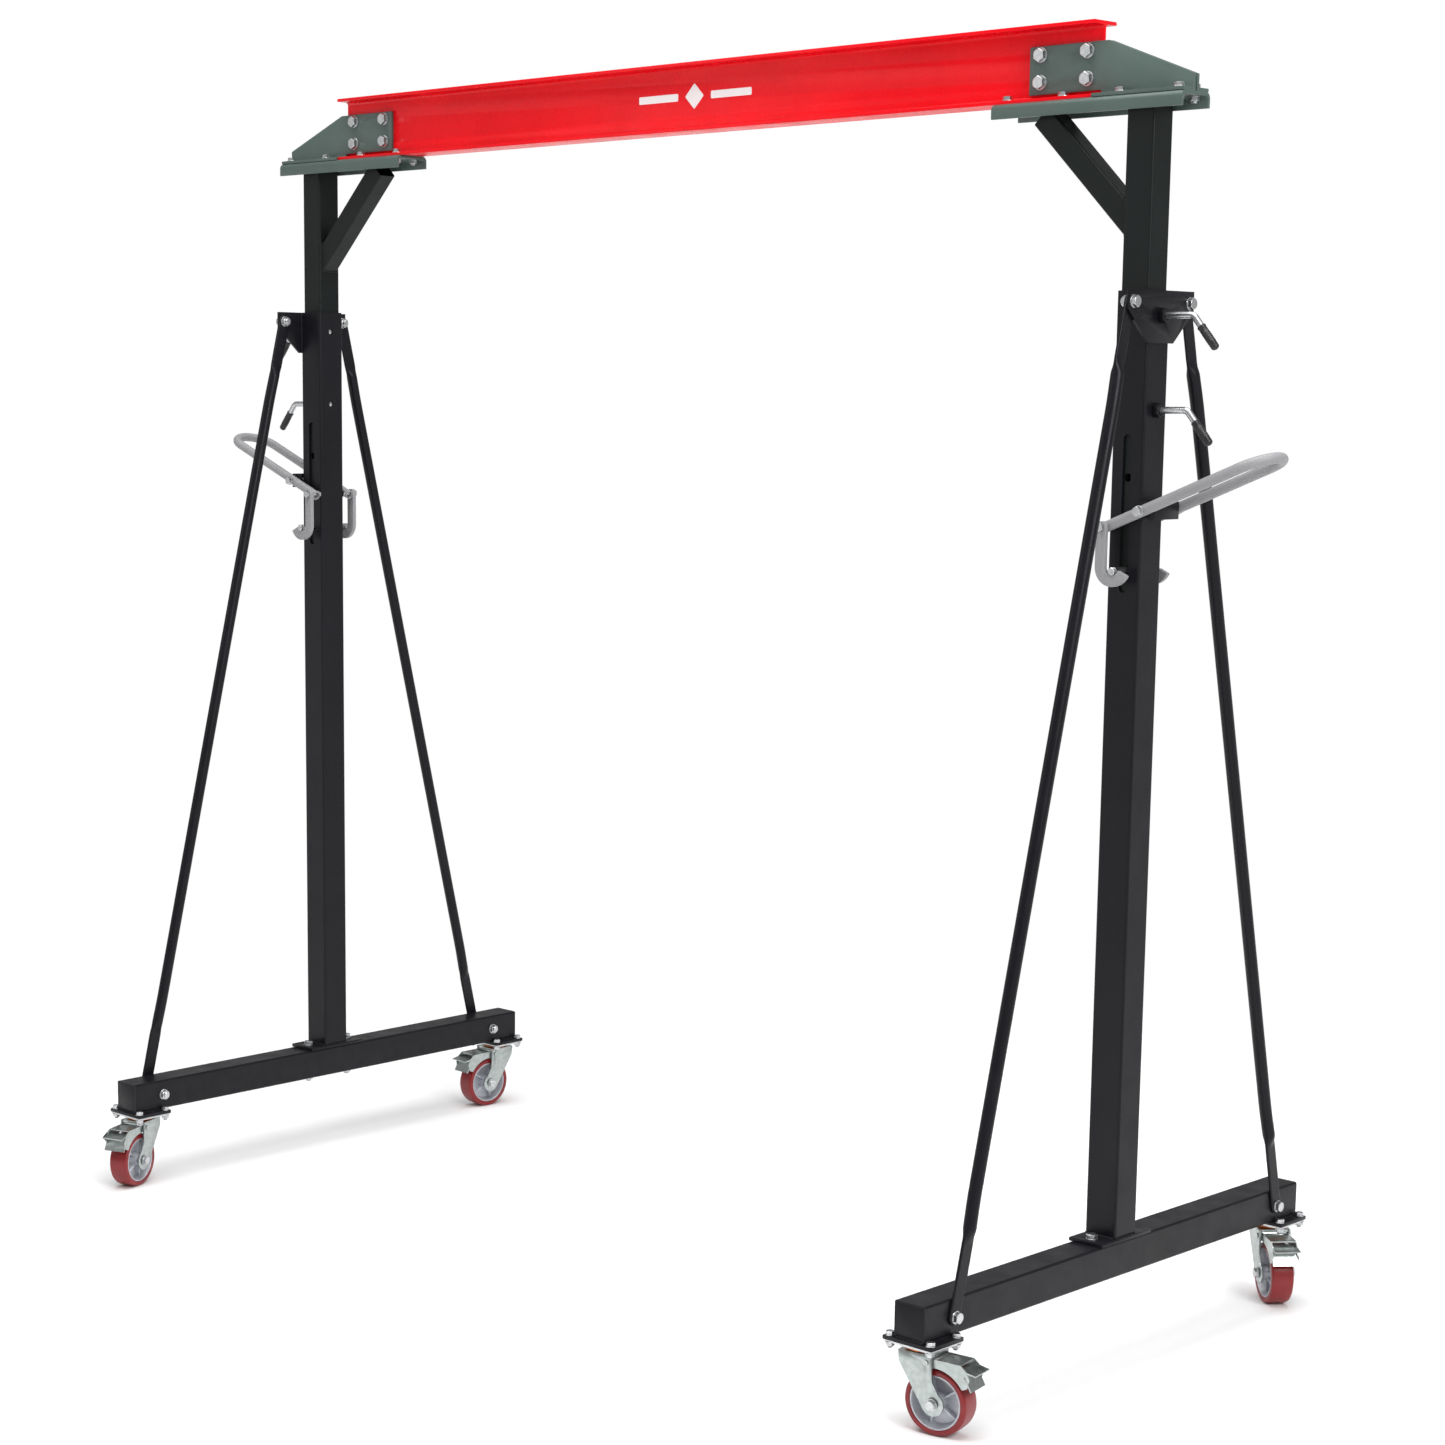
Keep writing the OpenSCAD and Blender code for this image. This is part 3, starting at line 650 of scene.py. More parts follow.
def hex_block(flats: float, low: float, high: float, crown_low: bool, crown_high: bool) -> Piece:
    """Models a hexagon block whose corners are turned off.

    Args:
        flats: Width across its flats.
        low: Height of its lower face.
        high: Height of its upper face.
        crown_low: Whether its lower corners are turned off.
        crown_high: Whether its upper corners are turned off.

    Returns:
        The block, on the Z axis.
    """
    corner = flats / math.sqrt(3)
    crown_r = flats * CROWN_SHARE
    outer = corner * 1.02
    drop = (outer - crown_r) * math.tan(CROWN_ANGLE)
    deselect()
    bpy.ops.mesh.primitive_cylinder_add(
        vertices=6, radius=corner, depth=high - low, location=(0, 0, (low + high) / 2))
    block = bpy.context.object
    bpy.ops.object.transform_apply(location=True)
    foot = [(crown_r, low), (outer, low + drop)] if crown_low else [(outer, low - drop)]
    head = [(outer, high - drop), (crown_r, high)] if crown_high else [(outer, high + drop)]
    cutter = spun("cutter", [(0.0, foot[0][1]), *foot, *head, (0.0, head[-1][1])], 48)
    modify(block, "BOOLEAN", operation="INTERSECT", object=cutter, solver="EXACT")
    discard(cutter)
    return block


def disc(outer: float, inner: float, low: float, high: float, edge: float = 0.0003) -> Piece:
    """Models a washer-like disc with its rims eased.

    Args:
        outer: Outer radius.
        inner: Inner radius, 0 for a solid disc.
        low: Height of its lower face.
        high: Height of its upper face.
        edge: Width of the easing.

    Returns:
        The disc, on the Z axis.
    """
    profile = [(inner, low), (outer - edge, low), (outer, low + edge), (outer, high - edge),
               (outer - edge, high), (inner, high)]
    return spun("disc", profile, 40)


def threaded(radius: float, low: float, high: float, pitch: float) -> Piece:
    """Models a threaded stretch as close rings with a pointed end at the low side.

    Args:
        radius: Outer radius of the thread.
        low: Height of its free end.
        high: Height where it goes into the nut.
        pitch: Distance between crests.

    Returns:
        The thread, on the Z axis.
    """
    depth = pitch * THREAD_SHARE
    profile = [(0.0, low), (radius - depth, low)]
    height = low + pitch / 2
    while height < high:
        profile += [(radius, height), (radius - depth, height + pitch / 2)]
        height += pitch
    return spun("thread", [*profile, (radius - depth, high), (0.0, high)], 24)


def weld(start: Point, finish: Point, radius: float = 0.003) -> Piece:
    """Lays a rippled weld bead between two points.

    Args:
        start: First end.
        finish: Other end.
        radius: Radius of the bead.

    Returns:
        The bead.
    """
    run = Vector(finish) - Vector(start)
    ripple = radius * 0.9
    lag = ripple * 0.25
    slimmest = 0.86
    end_share = 0.55
    deselect()
    bpy.ops.mesh.primitive_cylinder_add(vertices=8, radius=radius, depth=run.length)
    bead = bpy.context.object
    bead.name = "weld"
    cut_lengthwise(bead, radius, max(4, int(run.length / ripple * 2)))
    for vertex in bead.data.vertices:
        angle = math.atan2(vertex.co.y, vertex.co.x)
        phase = math.pi * (vertex.co.z + math.cos(2 * angle) * lag) / ripple
        swell = slimmest + (1 - slimmest) * abs(math.sin(phase))
        if abs(vertex.co.z) > run.length / 2 - TINY:
            swell *= end_share
        vertex.co.x *= swell
        vertex.co.y *= swell
    bead.data.transform(along(run, (Vector(start) + Vector(finish)) / 2))
    soften(bead, 60)
    return bead


def cut_lengthwise(piece: Piece, least: float, cuts: int) -> None:
    """Puts rings between the two ends of a cylinder.

    Args:
        piece: The cylinder, along Z.
        least: Less than its length, more than any level edge.
        cuts: Number of rings.
    """
    edit(piece)
    mesh = bmesh.from_edit_mesh(piece.data)
    for edge in mesh.edges:
        edge.select = abs(edge.verts[0].co.z - edge.verts[1].co.z) > least
    bpy.ops.mesh.subdivide(number_cuts=cuts)
    done()


def mirrored(profile: Profile, middle: float = 0.0) -> Profile:
    """Adds to an outline its mirror image about a middle height."""
    return [*profile, *((radius, 2 * middle - height) for radius, height in reversed(profile))]


def flat_oval(half_t: float, half_w: float, turn: float) -> Vector:
    """Finds a point on a flat oval: two straight faces joined by tight rounds.

    Args:
        half_t: Half its thickness, in X.
        half_w: Half its width, in Y.
        turn: How far round it the point is, from 0 to 1.

    Returns:
        The point.
    """
    straight = max(half_w - half_t, 0.0)
    quarter = math.pi * half_t / 2
    girth = 4 * (straight + quarter)
    distance = turn * girth
    if distance < straight:
        return Vector((half_t, distance, 0))
    if distance < straight + 2 * quarter:
        a = (distance - straight) / half_t
        return Vector((half_t * math.cos(a), straight + half_t * math.sin(a), 0))
    if distance < 3 * straight + 2 * quarter:
        return Vector((-half_t, 2 * (straight + quarter) - distance, 0))
    if distance < 3 * straight + 4 * quarter:
        a = (distance - 3 * straight - 2 * quarter) / half_t
        return Vector((-half_t * math.cos(a), -straight - half_t * math.sin(a), 0))
    return Vector((half_t, distance - girth, 0))


def solids_of(node: Piece) -> list[list[Vector]]:
    """Splits a node into the corners of its separate solids.

    Args:
        node: A node of the frame.

    Returns:
        One list of points for each solid.
    """
    mesh = bmesh.new()
    mesh.from_mesh(node.data)
    bmesh.ops.remove_doubles(mesh, verts=mesh.verts, dist=TINY)
    mesh.verts.ensure_lookup_table()
    seen: set[int] = set()
    found: list[list[Vector]] = []
    for vertex in mesh.verts:
        if vertex.index in seen:
            continue
        group, queue = [], [vertex]
        seen.add(vertex.index)
        while queue:
            current = queue.pop()
            group.append(current.co.copy())
            for edge in current.link_edges:
                other = edge.other_vert(current)
                if other.index not in seen:
                    seen.add(other.index)
                    queue.append(other)
        found.append(group)
    mesh.free()
    return found


def span_of(points: Iterable[Vector]) -> tuple[Vector, Vector]:
    """Finds the box round some points.

    Args:
        points: The points.

    Returns:
        Its lowest and its highest corner.
    """
    rows = list(points)
    low = Vector(min(p[i] for p in rows) for i in range(3))
    high = Vector(max(p[i] for p in rows) for i in range(3))
    return low, high


# ------------------------------------------------------------------ workshop


class Workshop:
    """Holds the frame and puts finished pieces on their bodies."""

    def __init__(self, frame: dict) -> None:
        """Takes the loaded frame.
        """
        self.nodes: dict[str, Piece] = frame["nodes"]
        self.joints: dict[str, dict] = {j["name"]: j for j in frame["joints"]}
        bodies = frame["record"]["behaviour"]["bodies"]
        self.body_of = {node: body for body, members in bodies.items() for node in members}
        self.palette = Palette()

    def corners(self, node: str) -> tuple[Vector, Vector]:
        """The lowest and highest corner of a node at rest."""
        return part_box(node)

    def refined(self, node: str, width: float, segments: int = 2) -> Piece:
        """Copies a node as one clean mesh with eased edges.

        Args:
            node: The node's name.
            width: Width of the easing in metres.
            segments: Faces across it.

        Returns:
            The copy, which rides on nothing yet.
        """
        activate(self.nodes[node])
        bpy.ops.object.duplicate()
        piece = bpy.context.object
        piece.parent = None
        piece.matrix_world = Matrix.Identity(4)
        for key in list(piece.keys()):
            del piece[key]
        edit(piece)
        bpy.ops.mesh.remove_doubles(threshold=TINY)
        bpy.ops.mesh.customdata_custom_splitnormals_clear()
        bpy.ops.mesh.dissolve_limited(angle_limit=math.radians(0.5))
        done()
        bevelled(piece, width, segments)
        soften(piece)
        return piece

    def fit(self, piece: Piece, name: str, finish: Finish, body: str,
            replaces: Sequence[str] = ()) -> Piece:
        """Finishes a piece and puts it on its body.

        Args:
            piece: The modelled piece.
            name: Its name.
            finish: Its finish.
            body: The body that carries it.
            replaces: Nodes that it stands for.

        Returns:
            The piece.
        """
        piece.name = name
        piece.data.name = name
        self.palette.paint(piece, finish)
        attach(piece, body)
        if replaces:
            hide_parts(*replaces)
        LOG.info("%s on %s, %d faces", name, body, len(piece.data.polygons))
        return piece

    def detail(self, piece: Piece, node: str, finish: Finish) -> None:
        """Puts a modelled piece in a node's place, on the node's body."""
        self.fit(piece, f"{node}.detail", finish, self.body_of[node], [node])

    def keep(self, node: str, finish: Finish) -> None:
        """Leaves a node as it is and gives it its finish."""
        self.palette.paint(self.nodes[node], finish)
        LOG.info("%s kept", node)

    def swap(self, node: str, finish: Finish, width: float) -> None:
        """Puts a copy with its edges eased by a width in a node's place."""
        self.detail(self.refined(node, width), node, finish)


# ------------------------------------------------------------------ fasteners


@dataclass
class Fasteners:
    """Replaces the plain bolts with chamfered heads, washers, nuts and threads.

    Attributes:
        shop: The workshop.
        pitch_share: Thread pitch as a share of the bolt's diameter.
    """

    shop: Workshop
    pitch_share: float = 0.13

    def build(self) -> None:
        """Models each group of bolts and puts it on its body."""
        for node in ("head_bolts", "foot_bolts", "stay_bolts", "caster_bolts", "lever_pivots"):
            masters: dict[tuple, Piece] = {}
            pieces = [self.bolt(points, masters) for points in solids_of(self.shop.nodes[node])]
            discard(*masters.values())
            piece = join(pieces, node)
            soften(piece, 30)
            self.shop.detail(piece, node, Finish.ZINC)

    def bolt(self, points: Sequence[Vector], masters: dict[tuple, Piece]) -> Piece:
        """Models one bolt from the stations of its plain solid.

        Args:
            points: The plain bolt's corners.
            masters: Bolts already modelled, by their stations.

        Returns:
            The detailed bolt in its place.
        """
        low, high = span_of(points)
        size = high - low
        axis = max(range(3), key=lambda i: size[i])
        middle = (low + high) / 2

        def reach(level: float) -> float:
            """The largest distance from the axis at a level."""
            rows = [p for p in points if abs(p[axis] - level) < 1e-4]
            flat = [Vector(p[i] - middle[i] for i in range(3) if i != axis) for p in rows]
            return max((offset.length for offset in flat), default=0.0)

        levels = sorted({round(p[axis], 5) for p in points})
        top_is_high = reach(levels[-1]) > reach(levels[0])
        head_end = levels[-1] if top_is_high else levels[0]
        sign = 1.0 if top_is_high else -1.0
        stations = sorted((round((level - head_end) * sign, 5) for level in levels), reverse=True)
        corner = reach(head_end)
        washer = reach(head_end + stations[1] * sign)
        shank = reach(levels[0] if top_is_high else levels[-1])
        key = (*stations, round(corner, 5), round(washer, 5), round(shank, 5))
        if key not in masters:
            masters[key] = self.master(stations, corner, washer, shank)
        direction = Vector(sign if i == axis else 0.0 for i in range(3))
        origin = middle.copy()
        origin[axis] = head_end
        return copy_of(masters[key], along(direction, origin))

    def master(self, stations: Sequence[float], corner: float, washer: float,
               shank: float) -> Piece:
        """Models a bolt with the top of its head at the origin.

        Args:
            stations: Heights of its faces, from the head down.
            corner: Radius of the hexagon's corners.
            washer: Radius of the washer.
            shank: Radius of the shank.

        Returns:
            The bolt along Z.
        """
        flats = corner * math.sqrt(3)
        bore = shank * 0.9
        tail, nut_low, nut_high = stations[-1], stations[-2], stations[-3]
        parts = [
            hex_block(flats, stations[1], stations[0], False, True),
            disc(washer, bore, stations[2], stations[1]),
            hex_block(flats, nut_low, nut_high, True, True),
            threaded(shank, tail, nut_low, shank * 2 * self.pitch_share),
            disc(shank, 0.0, nut_low, stations[1]),
        ]
        # More than six faces mean a second washer, under the nut.
        if len(stations) > 6:
            parts.append(disc(washer, bore, stations[-3], stations[-4]))
        return join(parts, "bolt")


# ------------------------------------------------------------------ head


@dataclass
class Head:
    """The beam with its end plates, channels, braces and inner columns.

    Attributes:
        shop: The workshop.
        mark_w: Width of the plain marking on the web.
        mark_h: Height of the marking.
        mark_t: Thickness of the marking's film.
        mark_x: Its place along the beam, from the middle.
        mark_z: Its height over the beam's middle.
        diamond: Side of its diamond, of its height.
        bar_h: Height of its bars, of its height.
        gap: Length between its bars, of its height.
    """

    shop: Workshop
    mark_w: float = 0.345
    mark_h: float = 0.056
    mark_t: float = 0.0004
    mark_x: float = 0.046
    mark_z: float = 0.004
    diamond: float = 0.72
    bar_h: float = 0.3
    gap: float = 1.8

    def build(self) -> None:
        """Models and finishes every piece of the head."""
        self.shop.swap("i_beam", Finish.BEAM_RED, 0.0012)
        for side in Side:
            self.shop.swap(f"gusset_{side.word}", Finish.HEAD_GREEN, 0.0008)
            self.shop.swap(f"top_channel_{side.word}", Finish.HEAD_GREEN, 0.0006)
            self.shop.keep(f"diagonal_brace_{side.word}", Finish.UPPER_BLACK)
            self.shop.keep(f"inner_column_{side.word}", Finish.UPPER_BLACK)
            self.welds(side)
        self.marking()

    def marking(self) -> None:
        """Lays a plain centre marking on both faces of the web."""
        low, high = self.shop.corners("i_beam")
        middle = (low + high) / 2
        web = self.web_half(low.z, high.z)
        bar_w = (self.mark_w - self.mark_h * self.gap) / 2
        bar = Vector((bar_w, 0, self.mark_h * self.bar_h))
        diamond = Vector((self.mark_h, 0, self.mark_h)) * self.diamond
        parts = []
        for face in (-1, 1):
            at = Vector((middle.x + self.mark_x, face * (web + self.mark_t / 2), middle.z + self.mark_z))
            for way in (-1, 1):
                offset = Vector((way * (self.mark_w - bar_w) / 2, 0, 0))
                parts.append(self.film(bar, at + offset, 0.0))
            parts.append(self.film(diamond, at, math.pi / 4))
        piece = join(parts, "beam_marking")
        self.shop.fit(piece, "beam_marking", Finish.MARK_WHITE, "upper_frame")

    def web_half(self, low: float, high: float) -> float:
        """Half the thickness of the beam's web, read from its mesh.

        Args:
            low: Height of the beam's lower face.
            high: Height of its upper face.

        Returns:
            The smallest distance from the beam's middle plane, clear of its flanges.
        """
        clear = (high - low) * 0.35
        points = (vertex.co for vertex in self.shop.nodes["i_beam"].data.vertices)
        return min(abs(p.y) for p in points if abs(p.z - (low + high) / 2) < clear)

    def film(self, size: Vector, at: Vector, turn: float) -> Piece:
        """Models one thin painted patch with eased corners.

        Args:
            size: Its width and height, in X and Z.
            at: Its centre.
            turn: Its turn in its own plane.

        Returns:
            The patch.
        """
        patch = block((size.x, self.mark_t, size.z))
        edit(patch)
        mesh = bmesh.from_edit_mesh(patch.data)
        for edge in mesh.edges:
            edge.select = abs(edge.verts[0].co.y - edge.verts[1].co.y) > self.mark_t / 2
        bpy.ops.mesh.bevel(offset=0.003, segments=4)
        done()
        patch.data.transform(Matrix.Translation(at) @ Matrix.Rotation(turn, 4, "Y"))
        return patch

    def welds(self, side: Side) -> None:
        """Welds a brace to its inner column.

        Args:
            side: Which leg.
        """
        column_low, column_high = self.shop.corners(f"inner_column_{side.word}")
        low, high = self.shop.corners(f"diagonal_brace_{side.word}")
        face = column_low.x if side is Side.RIGHT else column_high.x
        top = low.z + (high.y - low.y) * math.sqrt(2)
        y = high.y
        beads = [weld((face, way * y, low.z), (face, way * y, top)) for way in (-1, 1)]
        beads += [weld((face, -y, z), (face, y, z)) for z in (low.z + 0.001, top)]
        name = f"brace_weld_{side.word}"
        self.shop.fit(join(beads, name), name, Finish.UPPER_BLACK, "upper_frame")


# ------------------------------------------------------------------ legs


@dataclass
class Leg:
    """One lower leg: column, foot, base beam, ear plate, stays and bracket.

    Attributes:
        shop: The workshop.
        side: Which leg.
        tube_r: Radius of the stays' tube.
        blend: Length over which a stay turns from flat to round.
        sway: Length over which a flat comes in line with its tube.
        top_flat: Length of a stay's upper flat from its bolt.
        foot_flat: Length of a stay's lower flat from its bolt.
        tip: Length of a stay's flats beyond their bolts.
        flat_t: Half the thickness of a flat.
        flat_w: Half the width of a flat.
        rings: Steps of a stay's skin along each change of shape.
    """

    shop: Workshop
    side: Side
    tube_r: float = 0.0135
    blend: float = 0.036
    sway: float = 0.110
    top_flat: float = 0.110
    foot_flat: float = 0.140
    tip: float = 0.017
    flat_t: float = 0.003
    flat_w: float = 0.017
    rings: int = 20

    def build(self) -> None:
        """Models and finishes every piece of the leg."""
        word = self.side.word
        self.shop.keep(f"outer_column_{word}", Finish.FRAME_BLACK)
        self.shop.keep(f"base_beam_{word}", Finish.FRAME_BLACK)
        self.shop.swap(f"column_foot_{word}", Finish.FRAME_BLACK, 0.001)
        self.shop.swap(f"ear_plate_{word}", Finish.FRAME_BLACK, 0.0008)
        self.shop.swap(f"lever_bracket_{word}", Finish.FRAME_BLACK, 0.0008)
        for end in End:
            self.stay(end)
        self.welds()

    def stay(self, end: End) -> None:
        """Models one stay as a tube that is pressed flat at both ends.

        Args:
            end: Which end of the base beam it goes to.
        """
        foot, top = self.bolt_points(end)
        run = Vector((0, top.y - foot.y, top.z - foot.z))
        length = run.length
        stations = self.stations(length)
        spaces = len(stations) - 1
        deselect()
        bpy.ops.mesh.primitive_cylinder_add(vertices=32, radius=self.tube_r, depth=2.0)
        piece = bpy.context.object
        cut_lengthwise(piece, 1.0, spaces - 1)
        axis_x = (foot.x + top.x) / 2
        for vertex in piece.data.vertices:
            height = stations[round((vertex.co.z + 1.0) / 2.0 * spaces)]
            angle = math.atan2(vertex.co.y, vertex.co.x)
            vertex.co = self.pressed(angle, height, length, foot.x - axis_x, top.x - axis_x)
        turn = Vector((0, 0, 1)).rotation_difference(run).to_matrix().to_4x4()
        piece.data.transform(Matrix.Translation((axis_x, foot.y, foot.z)) @ turn)
        soften(piece, 50)
        self.shop.detail(piece, f"stay_{self.side.word}_{end.word}", Finish.FRAME_BLACK)

    def bolt_points(self, end: End) -> tuple[Vector, Vector]:
        """Where a stay's flats lie on their bolts.

        Args:
            end: Which end of the base beam.

        Returns:
            The centre of the lower flat and of the upper flat.
        """
        sign = self.side.value
        spans = [span_of(points) for points in solids_of(self.shop.nodes["stay_bolts"])]
        mine = [(low + high) / 2 for low, high in spans
                if (low.x + high.x) * sign > 0 and (low.y + high.y) * end.value > 0]
        foot = min(mine, key=lambda p: p.z)
        top = max(mine, key=lambda p: p.z)
        beam_face = max(abs(c.x) for c in self.shop.corners(f"base_beam_{self.side.word}"))
        column_face = max(abs(c.x) for c in self.shop.corners(f"outer_column_{self.side.word}"))
        foot.x = sign * (beam_face + self.flat_t)
        top.x = sign * (column_face - self.flat_t)
        return foot, top

    def stations(self, length: float) -> list[float]:
        """Heights of the rings along a stay, close together where it changes.

        Args:
            length: Distance between its bolts.

        Returns:
            The heights, from the lower end up.
        """
        rounds = [self.tip * (1 - math.cos(math.radians(a))) for a in range(0, 91, 15)]
        steps = [max(self.blend, self.sway) * i / self.rings for i in range(self.rings + 1)]
        heights = [self.foot_flat * 0.5, length - self.top_flat * 0.5]
        for step in steps:
            heights += [self.foot_flat + step, length - self.top_flat - step]
        for step in rounds:
            heights += [step - self.tip, length + self.tip - step]
        return sorted(heights)

    def pressed(self, angle: float, height: float, length: float, foot_x: float, top_x: float) -> Vector:
        """Places one point of a stay's skin.

        Args:
            angle: Angle round the tube.
            height: Height along it.
            length: Distance between its bolts.
            foot_x: Offset of the lower flat.
            top_x: Offset of the upper flat.

        Returns:
            The point, with the stay along Z.
        """
        def ease(t: float) -> float:
            """A smooth step from 0 to 1."""
            t = min(1.0, max(0.0, t))
            return t * t * (3 - 2 * t)

        at_foot = height < length / 2
        from_end = height if at_foot else length - height
        from_flat = from_end - (self.foot_flat if at_foot else self.top_flat)
        half_w = self.flat_w
        if from_end < 0:
            half_w *= math.sqrt(max(0.02, 1 - (from_end / self.tip) ** 2))
        tube = Vector((self.tube_r * math.cos(angle), self.tube_r * math.sin(angle), 0))
        flat = flat_oval(self.flat_t, half_w, angle % math.tau / math.tau)
        point = tube.lerp(flat, 1 - ease(from_flat / self.blend))
        point.x += (foot_x if at_foot else top_x) * (1 - ease(from_flat / self.sway))
        point.z = height
        return point

    def welds(self) -> None:
        """Welds the column to its foot, and the plates to the column."""
        word = self.side.word
        low, high = self.shop.corners(f"outer_column_{word}")
        beads = self.box_welds(low, high, self.shop.corners(f"column_foot_{word}")[1].z)
        ear_low, ear_high = self.shop.corners(f"ear_plate_{word}")
        face = high.x if self.side is Side.RIGHT else low.x
        inset = 0.003
        sunk = 0.0005
        for way in (-1, 1):
            x, y = face - self.side.value * 2 * sunk, way * (high.y - sunk)
            beads.append(weld((x, y, ear_low.z + inset), (x, y, ear_high.z - inset)))
        y = high.y - 2 * inset
        for corner in self.shop.corners(f"lever_bracket_{word}"):
            beads.append(weld((face, -y, corner.z), (face, y, corner.z), 0.0025))
        self.shop.fit(join(beads, "leg_weld"), f"leg_weld_{word}", Finish.FRAME_BLACK, "legs")

    def box_welds(self, low: Vector, high: Vector, z: float) -> list[Piece]:
        """Runs a bead round a square tube at a height.

        Args:
            low: The tube's lowest corner.
            high: Its highest corner.
            z: Height of the bead.

        Returns:
            The four beads.
        """
        eased = 0.004
        bead_r = 0.0035
        beads = [weld((low.x + eased, y, z), (high.x - eased, y, z), bead_r) for y in (low.y, high.y)]
        beads += [weld((x, low.y + eased, z), (x, high.y - eased, z), bead_r) for x in (low.x, high.x)]
        return beads


# ------------------------------------------------------------------ levers and pins


@dataclass
class LiftGear:
    """One leg's lever, hooks, lift pin and locking pins.

    Attributes:
        shop: The workshop.
        side: Which leg.
        tube_r: Radius of the lever's tube.
        wall: Wall of the lever's tube.
        open_depth: Depth of the lever's open ends.
        end_run: Length of the first and last ring of the lever's straights.
        bolt_h: More than the height of a hook bolt, less than that of a hook.
        hook_head: Height of a hook bolt's head.
        hook_nut: Height of its nut.
        hook_shank: Radius of its shank.
        pin_r: Radius of a locking pin.
        pin_bend: Angle of its bend.
        bend_r: Radius of its bend.
        pin_leg: Length from its bend to its grip.
        pin_ease: Chamfer of its tip.
        grip_r: Radius of its grip.
        grip_len: Length of its grip.
        grip_ribs: Ribs round its grip.
    """

    shop: Workshop
    side: Side
    tube_r: float = 0.011
    wall: float = 0.0025
    open_depth: float = 0.012
    end_run: float = 0.02
    bolt_h: float = 0.03
    hook_head: float = 0.0065
    hook_nut: float = 0.005
    hook_shank: float = 0.005
    pin_r: float = 0.007
    pin_bend: float = math.radians(50)
    bend_r: float = 0.015
    pin_leg: float = 0.022
    pin_ease: float = 0.002
    grip_r: float = 0.009
    grip_len: float = 0.058
    grip_ribs: int = 5

    def build(self) -> None:
        """Models and finishes every moving piece of the leg's lifting gear."""
        self.lever()
        self.hooks()
        self.lift_pin()
        for level in ("high", "low"):
            self.lock_pin(level)

    def lever(self) -> None:
        """Models the U-bent lever with open tube ends."""
        word = self.side.word
        node = f"lever_{word}"
        pivot = Vector(self.shop.joints[f"lever_{word}_pivot"]["pos_m"])
        hook = Vector(self.shop.joints[f"lift_hooks_{word}_pivot"]["pos_m"])
        out = Vector((pivot.x - hook.x, 0, pivot.z - hook.z)).normalized()
        gauge = self.shop.corners(node)[1].y - self.tube_r
        reach = self.far_reach(node, pivot, out)
        straight = reach - gauge
        inner = (pivot - hook).length + self.tube_r
        end = pivot - out * inner
        bend_axis = out.cross(Vector((0, 1, 0)))
        runs = [self.end_run, inner + straight - 2 * self.end_run, self.end_run]
        moves = [("run", out * run) for run in runs]
        moves.append(("bend", math.pi, pivot + out * straight, bend_axis, 40))
        moves += [("run", -out * run) for run in runs]
        piece = bent_rod(node, self.tube_r, end - Vector((0, gauge, 0)), moves, 32)
        self.open_ends(piece, out, end)
        soften(piece, 40)
        self.shop.detail(piece, node, Finish.LEVER_GREY)

    def far_reach(self, node: str, pivot: Vector, out: Vector) -> float:
        """Distance along a lever from its pivot to its tube's centre at the far end."""
        return max((v.co - pivot).dot(out) for v in self.shop.nodes[node].data.vertices) - self.tube_r

    def open_ends(self, piece: Piece, out: Vector, end: Vector) -> None:
        """Sinks the two end faces of a tube to show its wall.

        Args:
            piece: The tube.
            out: Its direction.
            end: A point in the plane of its ends.
        """
        edit(piece)
        bpy.ops.mesh.select_all(action="DESELECT")
        bpy.ops.mesh.select_mode(type="FACE")
        mesh = bmesh.from_edit_mesh(piece.data)
        for face in mesh.faces:
            face.select = abs((face.calc_center_median() - end).dot(out)) < 1e-4 and len(face.verts) > 8
        bpy.ops.mesh.inset(thickness=self.wall)
        bpy.ops.mesh.extrude_region_move(TRANSFORM_OT_translate={"value": out * self.open_depth})
        done()

    def hooks(self) -> None:
        """Models the two forged hooks and their bolts."""
        word = self.side.word
        node = f"lift_hooks_{word}"
        spans = [span_of(points) for points in solids_of(self.shop.nodes[node])]
        bolts = [self.hook_bolt(low, high) for low, high in spans if high.z - low.z < self.bolt_h]
        edit(self.shop.refined(node, 0.0016, 3))
        bpy.ops.mesh.separate(type="LOOSE")
        done()
        loose = list(bpy.context.selected_objects)
        hooks = [piece for piece in loose if piece.dimensions.z > self.bolt_h]
        discard(*[piece for piece in loose if piece not in hooks])
        self.shop.detail(join(hooks, node), node, Finish.LEVER_GREY)
        bolt_piece = join(bolts, "hook_bolts")
        soften(bolt_piece, 30)
        self.shop.fit(bolt_piece, f"hook_bolts_{word}", Finish.ZINC, self.shop.body_of[node])

    def hook_bolt(self, low: Vector, high: Vector) -> Piece:
        """Models one hook bolt with its nut.

        Args:
            low: The plain bolt's lowest corner.
            high: Its highest corner.

        Returns:
            The detailed bolt.
        """
        middle = (low + high) / 2
        sign = math.copysign(1.0, middle.y)
        length = high.y - low.y
        flats = max(high.x - low.x, high.z - low.z) / 2 * math.sqrt(3)
        bolt = join([
            hex_block(flats, -self.hook_head, 0.0, False, True),
            disc(self.hook_shank, 0.0, 0.0005 - length, -self.hook_head),
            hex_block(flats, -length, self.hook_nut - length, True, True)], "hook_bolt")
        outer = middle.y + sign * length / 2
        bolt.data.transform(along(Vector((0, sign, 0)), Vector((middle.x, outer, middle.z))))
        return bolt

